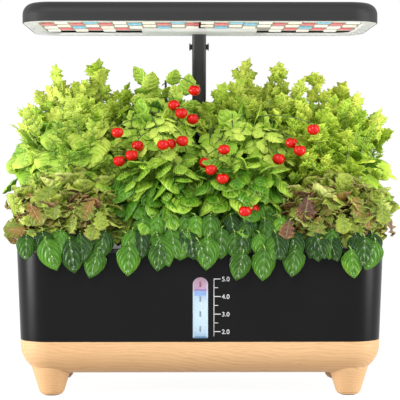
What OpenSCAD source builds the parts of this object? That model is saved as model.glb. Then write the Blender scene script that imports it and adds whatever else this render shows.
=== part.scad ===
// Tabletop hydroponic plant pot: a drafted water tank on a wooden stand, a lift-off grow deck
// with twelve planted baskets, and a grow lamp on a sliding mast.
// Origin: centre of the footprint, on the surface that the pot stands on. +Z up, front towards -Y.

/* [Tank] */
// Width of the tank across its rim
tank_w = 389; // [360:1:430]
// Depth of the tank across its rim
tank_d = 190; // [180:1:230]
// Height of the tank's wall
tank_h = 93; // [86:1:130]
// Draft of the tank's walls, in degrees
tank_draft = 2.1; // [0.5:0.1:3]
// Plan radius of the rim's corners
tank_r = 37; // [36:1:48]
// Thickness of the tank's wall
tank_wall = 2.6; // [2:0.1:4]
// Thickness of the tank's floor
tank_floor = 3; // [2.5:0.1:5]

/* [Stand] */
// Height of the stand's underside above the table
stand_clear = 24; // [18:1:34]
// Height of the stand's body
stand_h = 36; // [33:1:46]
// Radius of the stand's rounded lower edge
stand_round = 31; // [22:1:31]
// Inset of the feet's centres from the tank's foot
foot_inset = 33; // [30:1:44]
// Radius of a foot where it meets the stand
foot_top_r = 19.5; // [17:0.5:22]
// Radius of a foot near the table
foot_low_r = 12.2; // [11:0.2:14]
// Radius of the rounded edge under a foot
foot_edge_r = 3; // [1.5:0.5:4]
// Radius of the rubber pad under a foot
pad_r = 8; // [6:0.5:8.5]

/* [Window] */
// Width of the water window
window_w = 16; // [12:0.5:22]
// Height of the water window
window_h = 64; // [50:1:76]
// Height of the window's sill above the tank's floor
window_rise = 1; // [0.8:0.1:5]
// Water level that the float shows, above the tank's foot
float_level = 51; // [20:1:55]

/* [Deck] */
// Thickness of the deck's plate
deck_t = 3.5; // [3:0.1:5]
// Depth of the deck's skirt inside the tank
deck_skirt = 8; // [6:0.5:14]
// Distance between columns of baskets
column_pitch = 84; // [80:1:90]
// Distance between rows of baskets
row_pitch = 54; // [50:1:58]
// Shift of the middle row towards the front
row_shift = 3; // [0:0.5:6]
// Radius of a basket's hole
pod_r = 18; // [15:0.5:19]
// Depth of a basket below the deck's top
pod_depth = 42; // [34:1:46]

/* [Lamp] */
// Width of the lamp
lamp_w = 375; // [340:1:385]
// Depth of the lamp
lamp_d = 187; // [175:1:200]
// Thickness of the lamp
lamp_t = 21; // [20:0.5:28]
// Plan radius of the lamp's corners
lamp_r = 32; // [28:1:45]
// Radius of the lamp's rounded top edge
lamp_round = 12; // [6:0.5:13]
// Height of the lamp's underside above the table
lamp_z = 394; // [380:1:430]
// Width of the white bezel under the lamp
bezel_w = 13; // [10:0.5:18]
// Width of one light tile
tile_w = 13.4; // [10:0.2:13.8]
// Depth of one light tile
tile_d = 16; // [10:0.5:18]

/* [Mast] */
// Distance of the mast's centre from the bezel's inner rear edge
mast_back = 13.5; // [12.5:0.5:15.5]
// Outer width of the mast's sleeve
sleeve_w = 16; // [15:0.5:18]
// Wall of the mast's sleeve
sleeve_wall = 1.5; // [1.2:0.1:2]
// Length of the mast's sleeve below the lamp
sleeve_len = 204; // [180:1:206]
// Distance from the lamp's underside to the middle of the release buttons
button_drop = 15; // [13:0.5:24]

/* [Crop] */
// Height of the tallest leaves above the table
crop_top = 362; // [300:1:366]
// Thickness of a leaf
leaf_t = 1.4; // [1:0.1:2]

/* [Hidden] */
$fn = 72;
gap = 0.3;            // running gap between pieces that move
slip = 0.15;          // gap between pieces that are fitted together
eps = 0.01;
pad_proud = 0.8;
pad_t = 2;

stand_z = stand_clear + stand_h;           // top of the stand, foot of the tank
rim_z = stand_z + tank_h;
cx = tank_w / 2 - tank_r;                  // plan centres of the tank's corners
cy = tank_d / 2 - tank_r;
draft_k = tan(tank_draft);
foot_r = tank_r - tank_h * draft_k;        // plan corner radius at the tank's foot
spigot_h = 5;                              // the tank's foot that drops into the stand
spigot_in = 10;
foot_x = cx + foot_r - foot_inset;
foot_y = cy + foot_r - foot_inset;
base_screw_x = cx * 0.76;
base_screw_y = cy * 0.72;
screw_r = 2;
screw_head_r = 4;
screw_head_h = 3;
boss_r = 5;
boss_h = 8;

seal_t = 1;                                // flat seals
deck_z = rim_z + seal_t;                   // underside of the deck's flange
deck_top = deck_z + deck_t;
skirt_t = 2;
pod_columns = 4;
collar_r = pod_r + 5;
collar_h = 2;
basket_wall = 1.2;
basket_rim_t = 1.6;
basket_low_r = pod_r * 0.74;
basket_top_r = pod_r - slip - 0.4;
basket_rim_r = collar_r - 1.5;
sponge_drop = 0.6;                         // sponge's top below the basket's rim
pod_top = deck_top + collar_h + basket_rim_t;
sponge_z = pod_top - sponge_drop;          // where each stem starts
column_x = [for (c = [0 : pod_columns - 1]) (c - (pod_columns - 1) / 2) * column_pitch];
row_y = [for (r = [-1 : 1]) r * row_pitch - row_shift];

lamp_cx = lamp_w / 2 - lamp_r;
lamp_cy = lamp_d / 2 - lamp_r;
lamp_top = lamp_z + lamp_t;
lamp_wall = 2.2;
bezel_t = 2.5;
bezel_lip = 0.8;                           // black edge that shows round the bezel
board_z = lamp_z + bezel_t;                // underside of the light boards
board_t = 1.6;
board_ledge = 2;                           // how far a board rests on the bezel
board_gap = 12;                            // spine between the two boards
tile_t = 1.2;
mast_y = lamp_d / 2 - bezel_w - mast_back; // the mast's centre, behind the pot's
hub_w = 128;
hub_reach = 45;                            // how far the hub's cover runs in front of the mast
hub_front = mast_y - hub_reach;
hub_proud = 1;
hub_margin = 1.6;                          // gap between the hub's cover and the bezel
head_w = 46;
head_front = mast_y - sleeve_w / 2 - 4;

button_w = 8;
post_w = sleeve_w - 2 * sleeve_wall - 2 * gap;
lower_travel = 20;                         // how far the lamp slides down from rest
post_top = lamp_z - button_drop - button_w / 2 - lower_travel - 2;
socket_depth = 26;
socket_z = deck_top - socket_depth;
socket_wall = 4;
socket_h = 12;                             // socket above the deck
sleeve_foot = lamp_z - sleeve_len;
sleeve_top = board_z + 9;
button_out = 3.4;
button_z = lamp_z - button_drop;
button_travel = 1.6;

port_gap = 6.5;                            // deck between the last basket's collar and the port
port_edge = 15;                            // deck between the port and the rim
port_left = column_x[pod_columns - 1] + collar_r + port_gap;
port_w = tank_w / 2 - port_edge - port_left;
port_l = 52;
port_x = port_left + port_w / 2;           // middle of the filling port
port_wall = 2;
port_drop = 9;
flap_t = 2.6;
flap_over = 2.4;
hinge_pin_r = 1.2;
barrel_r = 2.4;
hinge_x = port_x + port_w / 2 + flap_over + barrel_r + 0.6;
hinge_z = deck_top + barrel_r + 0.5;
flap_z = deck_top + gap;

pump_w = 44;
pump_d = 38;
pump_h = 30;
pump_z = stand_z + tank_floor + 4;
pump_y = mast_y - pump_d / 2 + 6;
riser_y = pump_y - pump_d / 2 + 9;
riser_r = 6;
riser_bore = 4.2;
lead_r = 1.8;
lead_plug_r = 3.4;
lead_plug_h = 10;
post_floor = 3;
post_screw_r = 1.5;
socket_floor = 3;

switch_pitch = 20;
control_w = 76;
control_d = 24;
switch_y = head_front - control_d / 2 - 1;
switch_r = 5;
switch_travel = 0.8;
switch_proud = 1;
control_t = 1.6;
control_z = lamp_top - 8.2;                // top of the control board

black = "#232325";
wood = "#dcae78";
white = "#f1f1ee";

// Plan radius of the tank's outer wall at height z
function wall_r(z) = tank_r - (rim_z - z) * draft_k;

// Carries a section round a rounded rectangle; the section's x runs outward from the corner axes
module around(ax, ay) {
    for (q = [0 : 3]) {
        a = q % 2 == 0 ? ax : ay;
        b = q % 2 == 0 ? ay : ax;
        rotate([0, 0, 90 * q]) {
            translate([a, b, 0]) rotate_extrude(angle = 90) children();
            translate([a, b, 0]) rotate([90, 0, 0]) linear_extrude(2 * b) children();
        }
    }
}

// A flat plate with round corners
module plate(ax, ay, r, z0, z1) {
    translate([0, 0, z0]) linear_extrude(z1 - z0) {
        square([2 * ax + 2 * r, 2 * ay], center = true);
        square([2 * ax, 2 * ay + 2 * r], center = true);
        for (x = [-ax, ax], y = [-ay, ay]) translate([x, y]) circle(r);
    }
}

module round_bar(w, r, z0, z1) { plate(w / 2 - r, w / 2 - r, r, z0, z1); }

module at_corners(x, y) { for (sx = [-1, 1], sy = [-1, 1]) translate([sx * x, sy * y, 0]) children(); }

module at_pods() { for (x = column_x, y = row_y) translate([x, y, 0]) children(); }

// Outline of one foot, from its axis outward
module foot_section() {
    slope = (foot_top_r - foot_low_r) / stand_clear;
    top = stand_clear + stand_h * 0.3;
    polygon([[0, pad_proud], [foot_low_r - foot_edge_r, pad_proud],
             for (a = [-75 : 15 : -15]) [foot_low_r - foot_edge_r + foot_edge_r * cos(a),
                                         pad_proud + foot_edge_r + foot_edge_r * sin(a)],
             [foot_low_r + slope * foot_edge_r, pad_proud + foot_edge_r],
             [foot_low_r + slope * top, top], [0, top]]);
}

module stand() {
    in_r = foot_r - stand_round;
    color(wood) difference() {
        union() {
            around(cx, cy) {
                translate([0, stand_clear]) square([in_r, stand_h]);
                translate([0, stand_clear + stand_round]) square([foot_r, stand_h - stand_round]);
                intersection() {
                    translate([in_r, stand_clear + stand_round]) circle(stand_round);
                    translate([in_r, stand_clear]) square([stand_round, stand_round]);
                }
            }
            plate(cx, cy, eps, stand_clear, stand_z);
            at_corners(foot_x, foot_y) rotate_extrude() foot_section();
        }
        plate(cx, cy, foot_r - spigot_in + slip, stand_z - spigot_h - slip, stand_z + 1);
        at_corners(foot_x, foot_y) cylinder(r = pad_r + slip, h = pad_t);
        at_corners(base_screw_x, base_screw_y) {
            cylinder(r = screw_r + slip, h = stand_z);
            cylinder(r = screw_head_r + slip, h = stand_clear + screw_head_h);
        }
    }
}

module foot_pads() {
    color("#2b2b2b") at_corners(foot_x, foot_y) cylinder(r = pad_r, h = pad_t);
}

module stand_screws() {
    color("silver") at_corners(base_screw_x, base_screw_y) difference() {
        union() {
            translate([0, 0, stand_clear + screw_head_h * 0.15])
                cylinder(r = screw_head_r, h = screw_head_h * 0.85);
            translate([0, 0, stand_clear + screw_head_h])
                cylinder(r = screw_r, h = stand_h - screw_head_h + tank_floor + boss_h * 0.5);
        }
        for (a = [0, 90]) translate([0, 0, stand_clear]) rotate(a)
            cube([screw_head_r * 1.1, 1, screw_head_h], center = true);
    }
}

// Puts its child on the outer face of the front wall: x across, y into the tank, z up the wall
module on_front_wall() {
    translate([0, -(cy + foot_r), stand_z]) rotate([tank_draft, 0, 0]) children();
}

// The window's arched outline, grown by g but clear of the floor, from y0 to y1 behind the wall's face
module window_prism(g, y0, y1) {
    w = window_w + 2 * g;
    low = min(g, window_rise - gap);
    translate([0, y1, 0]) rotate([90, 0, 0]) linear_extrude(y1 - y0) {
        translate([-w / 2, window_sill - low]) square([w, window_h - window_w / 2 + low]);
        translate([0, window_sill + window_h - window_w / 2]) circle(w / 2);
    }
}

module tank() {
    color(black) difference() {
        union() {
            around(cx, cy)
                polygon([[0, stand_z], [foot_r, stand_z], [tank_r, rim_z], [tank_r - tank_wall, rim_z],
                         [wall_r(stand_z + tank_floor) - tank_wall, stand_z + tank_floor],
                         [0, stand_z + tank_floor]]);
            plate(cx, cy, eps, stand_z, stand_z + tank_floor);
            plate(cx, cy, foot_r - spigot_in, stand_z - spigot_h, stand_z + eps);
            at_corners(base_screw_x, base_screw_y)
                translate([0, 0, stand_z]) cylinder(r = boss_r, h = tank_floor + boss_h);
        }
        on_front_wall() window_prism(0, -1, tank_wall + 1);
        at_corners(base_screw_x, base_screw_y)
            translate([0, 0, stand_z - spigot_h - 1])
                cylinder(r = screw_r + slip, h = spigot_h + 1 + tank_floor + boss_h * 0.6);
    }
}

window_sill = tank_floor + window_rise;
lens_flange = 3;
lens_t = 1.6;
lens_back = tank_wall + seal_t * 0.8 + lens_t;   // inner face of the lens, behind the wall's outer face
rail_w = 1.4;
float_w = window_w - 3.6;
float_d = 6;
float_h = 6;
guide_back = 1.2;                                // thickness of the guide's back
guide_over = 7;                                  // guide above the middle of the window's arch
guide_slots = 4;
slot_w = 2;
slot_h = 6;
rail_d = float_d + 2 * gap + guide_back;

module window_lens() {
    color("#bfe0ff", 0.6) on_front_wall() {
        window_prism(-slip, 0, tank_wall + 1);
        window_prism(lens_flange, lens_back - lens_t, lens_back);
    }
}

// A channel behind the lens that guides the float; slots in its back let the water in
module float_guide() {
    w = float_w + 2 * gap + 2 * rail_w;
    h = window_h - window_w / 2 + guide_over;
    color(white) on_front_wall() difference() {
        translate([-w / 2, lens_back, window_sill]) cube([w, rail_d, h]);
        translate([rail_w - w / 2, lens_back - 1, window_sill - 1])
            cube([w - 2 * rail_w, rail_d - guide_back + 1, h + 2]);
        for (k = [0 : guide_slots - 1])
            translate([-slot_w / 2, lens_back, window_sill + (k + 0.5) * h / guide_slots - slot_h / 2])
                cube([slot_w, rail_d + 1, slot_h]);
    }
}

module window_seal() {
    color("#3a3a3c") on_front_wall() difference() {
        window_prism(lens_flange, tank_wall, lens_back - lens_t);
        window_prism(slip, tank_wall - 1, lens_back);
    }
}

module level_float() {
    color("#3b8fe8") on_front_wall()
        translate([-float_w / 2, lens_back + gap, float_level - float_h / 2])
            cube([float_w, float_d, float_h]);
}

module deck_seal() {
    color("#3a3a3c") around(cx, cy)
        translate([tank_r - tank_wall, rim_z]) square([tank_wall - 0.4, seal_t]);
}

module deck() {
    edge = deck_t * 0.6;
    skirt_r = tank_r - tank_wall - 2 * gap;
    color(black) difference() {
        union() {
            around(cx, cy) {
                translate([0, deck_z]) square([tank_r - edge, deck_t]);
                translate([0, deck_z]) square([tank_r, deck_t - edge]);
                translate([tank_r - edge, deck_top - edge]) intersection() {
                    circle(edge);
                    square(edge);
                }
                translate([skirt_r - skirt_t, rim_z - deck_skirt])
                    square([skirt_t, deck_skirt + seal_t + eps]);
            }
            plate(cx, cy, eps, deck_z, deck_top);
            at_pods() translate([0, 0, deck_z]) cylinder(r = collar_r, h = deck_t + collar_h);
            translate([0, mast_y, 0])
                round_bar(post_w + 2 * slip + 2 * socket_wall, 3, socket_z, deck_top + socket_h);
            translate([port_x, 0, deck_z - port_drop]) linear_extrude(port_drop + eps)
                square([port_w + 2 * port_wall, port_l + 2 * port_wall], center = true);
            for (s = [-1, 1]) translate([hinge_x, s * (port_l / 2 - 3), 0]) rotate([90, 0, 0])
                translate([0, 0, -2.5]) linear_extrude(5) {
                    translate([0, hinge_z]) circle(barrel_r);
                    translate([-barrel_r, deck_z]) square([2 * barrel_r, hinge_z - deck_z]);
                }
        }
        at_pods() translate([0, 0, deck_z - 1]) cylinder(r = pod_r, h = deck_t + collar_h + 2);
        translate([0, mast_y, 0])
            round_bar(post_w + 2 * slip, 2, socket_z + socket_floor, deck_top + socket_h + 1);
        translate([port_x, 0, deck_z - port_drop - 1])
            linear_extrude(port_drop + deck_t + 2) square([port_w, port_l], center = true);
        translate([hinge_x, -port_l, hinge_z]) rotate([-90, 0, 0])
            cylinder(r = hinge_pin_r + 0.05, h = 2 * port_l);
        translate([0, mast_y, deck_top + socket_h / 2]) rotate([0, 90, 0])
            cylinder(r = post_screw_r + slip, h = 60, center = true);
        translate([0, mast_y, socket_z - 1]) cylinder(r = lead_r + 2, h = socket_floor + 2);
        translate([0, riser_y, deck_z - 1]) cylinder(r = riser_r + slip, h = deck_t);
    }
}

// One slotted basket, hung by its rim
module basket() {
    rim = deck_top + collar_h;
    low = deck_top - pod_depth;
    difference() {
        rotate_extrude()
            polygon([[0, low], [basket_low_r, low], [basket_top_r, rim], [basket_rim_r, rim],
                     [basket_rim_r, pod_top], [basket_top_r - basket_wall, pod_top],
                     [basket_low_r - basket_wall, low + basket_wall], [0, low + basket_wall]]);
        for (k = [0 : 2]) rotate(60 * k) translate([0, 0, low + pod_depth * 0.36])
            cube([3 * pod_r, 5, pod_depth * 0.5], center = true);
    }
}

module grow_baskets() { color("#1d1d1f") at_pods() basket(); }

module grow_sponges() {
    low = deck_top - pod_depth + basket_wall;
    inner_low = basket_low_r - basket_wall;
    inner_top = basket_top_r - basket_wall;
    color("#6b4a30") at_pods() translate([0, 0, low])
        cylinder(r1 = inner_low - 0.4, r2 = inner_top - 0.4, h = sponge_z - low);
}

module fill_flap() {
    left = port_x - port_w / 2 - flap_over;
    mid_l = port_l - 6 - 5 - 2 * gap;
    color(black) difference() {
        union() {
            translate([left, -port_l / 2 - flap_over, flap_z])
                cube([hinge_x - left - barrel_r - gap, port_l + 2 * flap_over, flap_t]);
            translate([hinge_x - barrel_r - gap - 1, -mid_l / 2, flap_z]) cube([barrel_r + 1, mid_l, flap_t]);
            translate([hinge_x, -mid_l / 2, hinge_z]) rotate([-90, 0, 0]) cylinder(r = barrel_r, h = mid_l);
            translate([left - 2.5, -9, flap_z + 0.6]) cube([3, 18, flap_t - 0.6]);
        }
        translate([hinge_x, -port_l, hinge_z]) rotate([-90, 0, 0])
            cylinder(r = hinge_pin_r + 0.05, h = 2 * port_l);
    }
}

module flap_pin() {
    color("silver") translate([hinge_x, -port_l / 2 + 0.5, hinge_z]) rotate([-90, 0, 0])
        cylinder(r = hinge_pin_r, h = port_l - 1);
}

module pump_body() {
    color("#2a2c30") difference() {
        union() {
            translate([0, pump_y, 0]) plate(pump_w / 2 - 6, pump_d / 2 - 6, 6, pump_z, pump_z + pump_h);
            translate([0, riser_y, pump_z]) cylinder(r = riser_r + 2, h = pump_h + 6);
        }
        translate([0, riser_y, pump_z + pump_h - 6]) cylinder(r = riser_r + slip, h = 20);
        translate([0, mast_y, pump_z + pump_h - 5]) cylinder(r = lead_r + slip, h = 20);
        translate([0, pump_y - pump_d / 2, pump_z + pump_h / 2])
            cube([pump_w - 16, 8, pump_h - 12], center = true);
    }
}

module pump_grille() {
    bars = 7;
    w = pump_w - 16 - 2 * slip;
    h = pump_h - 12 - 2 * slip;
    color("#3c4046") translate([0, pump_y - pump_d / 2, pump_z + pump_h / 2]) difference() {
        translate([-w / 2, 0, -h / 2]) cube([w, 4, h]);
        for (k = [0 : bars - 1]) translate([(k - (bars - 1) / 2) * w / bars, 0, 0])
            cube([w / bars * 0.5, 20, h - 5], center = true);
    }
}

module riser_pipe() {
    foot = pump_z + pump_h - 6;
    color("#d8dade") translate([0, riser_y, foot]) difference() {
        cylinder(r = riser_r, h = deck_top - 1.2 - foot);
        translate([0, 0, -1]) cylinder(r = riser_bore, h = deck_top);
    }
}

// The lead runs up into the hollow post and ends in a plug on the post's floor
module pump_lead() {
    foot = pump_z + pump_h - 5;
    plug = socket_z + socket_floor + post_floor;
    color("#2b2b2d") translate([0, mast_y, 0]) {
        translate([0, 0, foot]) cylinder(r = lead_r, h = plug - foot + 1);
        translate([0, 0, plug]) cylinder(r = lead_plug_r, h = lead_plug_h);
    }
}

module lead_grommet() {
    color("#3a3a3c") translate([0, mast_y, 0]) difference() {
        union() {
            translate([0, 0, socket_z]) cylinder(r = lead_r + 2 - slip, h = socket_floor);
            translate([0, 0, socket_z - 1.5]) cylinder(r = lead_r + 3.4, h = 1.5);
        }
        translate([0, 0, socket_z - 2]) cylinder(r = lead_r + slip, h = socket_floor + 4);
    }
}

inlet_r = 3;
inlet_x = -34;
inlet_l = 12;
inlet_bore = 1.75;
inlet_pin = 0.65;

// Puts its child in the lamp's rear wall, with z along the plug's path out
module at_inlet() {
    translate([inlet_x, lamp_d / 2, board_z + inlet_r + 0.6]) rotate([-90, 0, 0]) children();
}

module power_inlet() {
    color("#3a3a3c") at_inlet() difference() {
        translate([0, 0, -inlet_l]) cylinder(r = inlet_r, h = inlet_l);
        translate([0, 0, 2 - inlet_l]) difference() {
            cylinder(r = inlet_bore, h = inlet_l);
            cylinder(r = inlet_pin, h = inlet_l - 4);
        }
    }
}

module mast_post() {
    color("#2c2c2f") translate([0, mast_y, 0]) difference() {
        round_bar(post_w, 2, socket_z + socket_floor, post_top);
        round_bar(post_w - 4, 1.2, socket_z + socket_floor + post_floor, post_top + 1);
        translate([0, 0, socket_z]) cylinder(r = lead_r + 1, h = 2 * socket_floor + post_floor);
        translate([0, 0, deck_top + socket_h / 2]) rotate([0, 90, 0])
            cylinder(r = post_screw_r + slip, h = 60, center = true);
    }
}

module post_screws() {
    reach = post_w / 2 + slip + socket_wall;
    color("silver") for (s = [-1, 1]) translate([0, mast_y, deck_top + socket_h / 2]) rotate([0, 90 * s, 0])
        translate([0, 0, post_w / 2 - post_screw_r]) {
            cylinder(r = post_screw_r, h = reach - post_w / 2 + post_screw_r);
            translate([0, 0, reach - post_w / 2 + post_screw_r]) cylinder(r = 2.8, h = 1.4);
        }
}

module mast_sleeve() {
    color(black) translate([0, mast_y, 0]) difference() {
        round_bar(sleeve_w, 4, sleeve_foot, sleeve_top);
        round_bar(sleeve_w - 2 * sleeve_wall, 2.5, sleeve_foot - 1, sleeve_top - 2);
        translate([0, 0, button_z]) rotate([0, 90, 0])
            cylinder(r = button_w / 2 - 1 + 0.1, h = 60, center = true);
        for (s = [-1, 1]) translate([s * 3.4, -sleeve_w / 2, (sleeve_foot + button_z) / 2 - 6])
            cube([0.9, 0.8, button_z - sleeve_foot - 24], center = true);
    }
}

module mast_head() {
    color("#2c2c2f") translate([0, mast_y, 0]) difference() {
        translate([-head_w / 2, head_front - mast_y, board_z])
            cube([head_w, lamp_d / 2 - bezel_w - slip - head_front, lamp_top - lamp_wall - board_z]);
        round_bar(sleeve_w + 2 * slip, 4 + slip, board_z - 1, sleeve_top + slip);
    }
}

// One release button: cap outside, shank through the sleeve, collar inside
module release_button() {
    inner = sleeve_w / 2 - sleeve_wall;
    rotate([0, 90, 0]) {
        translate([0, 0, inner - 0.4]) cylinder(r = button_w / 2 - 1, h = sleeve_wall + button_travel + 1);
        translate([0, 0, inner - 1.4 - slip]) cylinder(r = button_w / 2, h = 1.4);
        translate([0, 0, inner - 3.4]) cylinder(r = 1.6, h = 3);
        intersection() {
            translate([0, 0, inner + sleeve_wall + button_travel + 0.2])
                linear_extrude(button_out - button_travel - 0.2)
                    square([button_w, button_w - 1], center = true);
            translate([0, 0, inner + sleeve_wall + button_out - 30]) sphere(r = 30, $fn = 96);
        }
    }
}

module release_button_left() {
    color("#2b2b2e") translate([0, mast_y, button_z]) mirror([1, 0, 0]) release_button();
}

module release_button_right() {
    color("#2b2b2e") translate([0, mast_y, button_z]) release_button();
}

module release_spring() {
    free = sleeve_w / 2 - sleeve_wall - 1.4 - slip - 0.1;
    color("silver") translate([-free, mast_y, button_z]) rotate([0, 90, 0]) difference() {
        cylinder(r = 2.6, h = 2 * free);
        translate([0, 0, -1]) cylinder(r = 1.9, h = 3 * free);
    }
}

// Section of the lamp's shell, from r at its side up to its round top edge
module shell_section(r, top, round) {
    translate([0, board_z]) square([r - round, top - board_z]);
    translate([0, board_z]) square([r, top - round - board_z]);
    translate([r - round, top - round]) intersection() {
        circle(round);
        square(round);
    }
}

module lamp_housing() {
    boss_top = lamp_top - lamp_wall + eps;
    color(black) difference() {
        union() {
            difference() {
                union() {
                    around(lamp_cx, lamp_cy) shell_section(lamp_r, lamp_top, lamp_round);
                    plate(lamp_cx, lamp_cy, eps, board_z, lamp_top);
                }
                around(lamp_cx, lamp_cy)
                    shell_section(lamp_r - lamp_wall, lamp_top - lamp_wall, lamp_round - lamp_wall);
                plate(lamp_cx, lamp_cy, eps, board_z - 1, lamp_top - lamp_wall);
            }
            at_bezel_screws() translate([0, 0, board_z]) cylinder(r = 3.6, h = boss_top - board_z);
            at_control_posts() translate([0, 0, control_z]) cylinder(r = 2.5, h = boss_top - control_z);
        }
        at_bezel_screws() translate([0, 0, board_z - 1]) cylinder(r = 1.4 + slip, h = 9);
        at_switches() translate([0, 0, lamp_top - 6]) cylinder(r = switch_r + gap, h = 10);
        at_inlet() translate([0, 0, -inlet_l]) cylinder(r = inlet_r + slip, h = inlet_l + 5);
    }
}

// Screws that hold the bezel: one in each corner and one in the middle of the front
module at_bezel_screws() {
    y = lamp_d / 2 - bezel_w / 2;
    x = lamp_w / 2 - bezel_w / 2;
    for (sx = [-1, 1]) {
        translate([sx * lamp_w * 0.25, -y, 0]) children();
        translate([sx * lamp_w * 0.25, y, 0]) children();
        translate([sx * x, 0, 0]) children();
    }
}

module at_switches() { for (k = [-1 : 1]) translate([k * switch_pitch, switch_y, 0]) children(); }

module at_control_posts() {
    for (sx = [-1, 1], sy = [-1, 1])
        translate([sx * (control_w / 2 - 5), switch_y + sy * (control_d / 2 - 4), 0]) children();
}

module lamp_bezel() {
    r_in = lamp_r - bezel_w;
    color(white) difference() {
        around(lamp_cx, lamp_cy)
            polygon([[r_in - 1.5, board_z], [r_in, lamp_z], [lamp_r - bezel_lip, lamp_z],
                     [lamp_r - bezel_lip, board_z]]);
        at_bezel_screws() {
            translate([0, 0, lamp_z - 1]) cylinder(r = 1.4 + slip, h = 9);
            translate([0, 0, lamp_z - 1]) cylinder(r = 2.6 + slip, h = 2.2);
        }
    }
}

module bezel_screws() {
    color("silver") at_bezel_screws() difference() {
        union() {
            translate([0, 0, lamp_z + 0.2]) cylinder(r = 2.6, h = 1);
            translate([0, 0, lamp_z + 1.2]) cylinder(r = 1.4, h = 8);
        }
        for (a = [0, 90]) translate([0, 0, lamp_z]) rotate(a) cube([3.2, 0.7, 1.2], center = true);
    }
}

board_x = lamp_w / 2 - bezel_w + board_ledge;
board_front = -(lamp_d / 2 - bezel_w + board_ledge);
board_rear = head_front - slip;

module light_boards() {
    corner = lamp_r - bezel_w + board_ledge;
    color("#8f8550") intersection() {
        for (s = [-1, 1]) translate([s > 0 ? board_gap / 2 : -board_x, board_front, board_z])
            cube([board_x - board_gap / 2, board_rear - board_front, board_t]);
        plate(lamp_cx, lamp_cy, corner, board_z - 1, board_z + 5);
    }
}

// Light tiles stand on a chequer grid; each place has a column, a row and a colour
tile_rows = 7;
tile_cols = 22;
tile_px = (board_x * 2 - 2 * board_ledge) / (tile_cols + 0.4);
tile_py = (board_rear - board_front - board_ledge) / tile_rows;

function tile_at(c, r) = [(c - (tile_cols - 1) / 2) * tile_px,
                          board_front + board_ledge + (r + 0.5) * tile_py];
function tile_kind(c, r) =
    let (m = floor((c < tile_cols / 2 ? c : tile_cols - 1 - c) / 2))
    r % 3 == 2 ? (m % 4 == 3 ? 3 : 2) :
    r % 3 == 1 && m % 3 == 1 ? 3 :
    (c + 3 * r) % 5 < 2 ? 1 : 0;
function tile_free(p) =
    !(abs(p.x) < hub_w / 2 + tile_w / 2 + 1 && p.y > hub_front - tile_d / 2 - 1)
    && abs(p.x) > board_gap / 2 + 0.5
    && (abs(p.x) < lamp_cx || abs(p.y) < lamp_cy);

module tiles(kind) {
    for (r = [0 : tile_rows - 1], c = [0 : tile_cols - 1]) {
        p = tile_at(c, r);
        if ((c + r) % 2 == 0 && tile_kind(c, r) == kind && tile_free(p))
            translate([p.x, p.y, board_z - tile_t / 2]) cube([tile_w, tile_d, tile_t], center = true);
    }
}

module white_tiles() { color("#fdfdf6") tiles(0); }
module warm_tiles() { color("#fbf3d8") tiles(1); }
module red_tiles() { color("#e0524f") tiles(2); }
module blue_tiles() { color("#69bfd6") tiles(3); }

module hub_cover() {
    rear = lamp_d / 2 - bezel_w - slip - hub_margin;
    color(white) difference() {
        translate([-hub_w / 2, hub_front, lamp_z - hub_proud])
            cube([hub_w, rear - hub_front, bezel_t + hub_proud]);
        translate([0, mast_y, 0]) round_bar(sleeve_w + 2 * slip, 4 + slip, lamp_z - 5, board_z + 5);
    }
}

module control_board() {
    color("#2f6b45") {
        translate([0, switch_y, control_z - control_t / 2])
            cube([control_w, control_d, control_t], center = true);
        at_switches() translate([0, 0, control_z - eps])
            cylinder(r = 2.5, h = lamp_top - lamp_wall - 2.4 - switch_travel - gap - control_z);
    }
}

module switch_cap(k) {
    under = lamp_top - lamp_wall - gap;
    color("#303033") translate([k * switch_pitch, switch_y, 0]) {
        translate([0, 0, under - 1]) cylinder(r = switch_r, h = lamp_top + switch_proud - under + 1);
        translate([0, 0, under - 1.6]) cylinder(r = switch_r + 1.5, h = 1.6);
        translate([0, 0, under - 2.1]) cylinder(r = 2, h = 1);
    }
}

module light_button() { switch_cap(-1); }
module pump_button() { switch_cap(0); }
module link_button() { switch_cap(1); }

// Sizes and shares of the crop
crop_h = crop_top - sponge_z;
golden = 137.508;
stem_r = 2.2;
stem_share = 0.82;                         // height of the main stem, as a share of the plant's
stalk_w = 2.6;
stalk_t = 1.8;
stalk_in = 2.5;                            // how far a blade's foot reaches past its stalk's end
stalk_least = 6;                           // shortest stalk
stalk_slope = 0.5;                         // rise of a stalk for its length
leaf_roll = 10;
roll_room = 3;                             // room that a rolled blade's edge takes
widest = 0.9;                              // a blade's width, as a share of its length
rear_half = 0.25;                          // sine of the bearing from which a leaf stays off the fruit
side_turn = 0.9;                           // cosine of the bearing at which a leaf turns to the side
crown_round = 0.4;                         // how far the crown draws in at its top and foot
inner_share = 0.5;                         // every third leaf lies this deep in the crown
top_leaf = 0.8;                            // length of the highest leaf, as a share of the lowest
leaf_low = 5;                              // lowest leaf above the sponge
leaf_clear = 8;                            // gap kept over a row in front
leaf_green = "#6fa81f";
basil_green = "#3f8a1d";
pale_green = "#9ec24a";
fruit_red = "#d31c12";
fruit_r = 7.2;
fruit_count = 4;

// Heights of the plants, as shares of the tallest crop
lettuce_share = 0.33;
basil_share = 0.45;
chard_share = 0.7;
middle_share = 0.78;
truss_share = 0.36;                        // where a tomato's fruit starts, as a share of its height
lean = 28;                                 // how far the middle row leans over the front row

// Length and width of the lowest leaves, and the height of the lowest leaves of the taller plants
lettuce_leaf = [46, 42];
basil_leaf = [46, 42];
parsley_leaf = [54, 46];
celery_leaf = [56, 46];
chard_leaf = [54, 48];
tomato_leaf = [50, 42];
middle_low = 25;
parsley_low = 40;
celery_low = 50;

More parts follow.
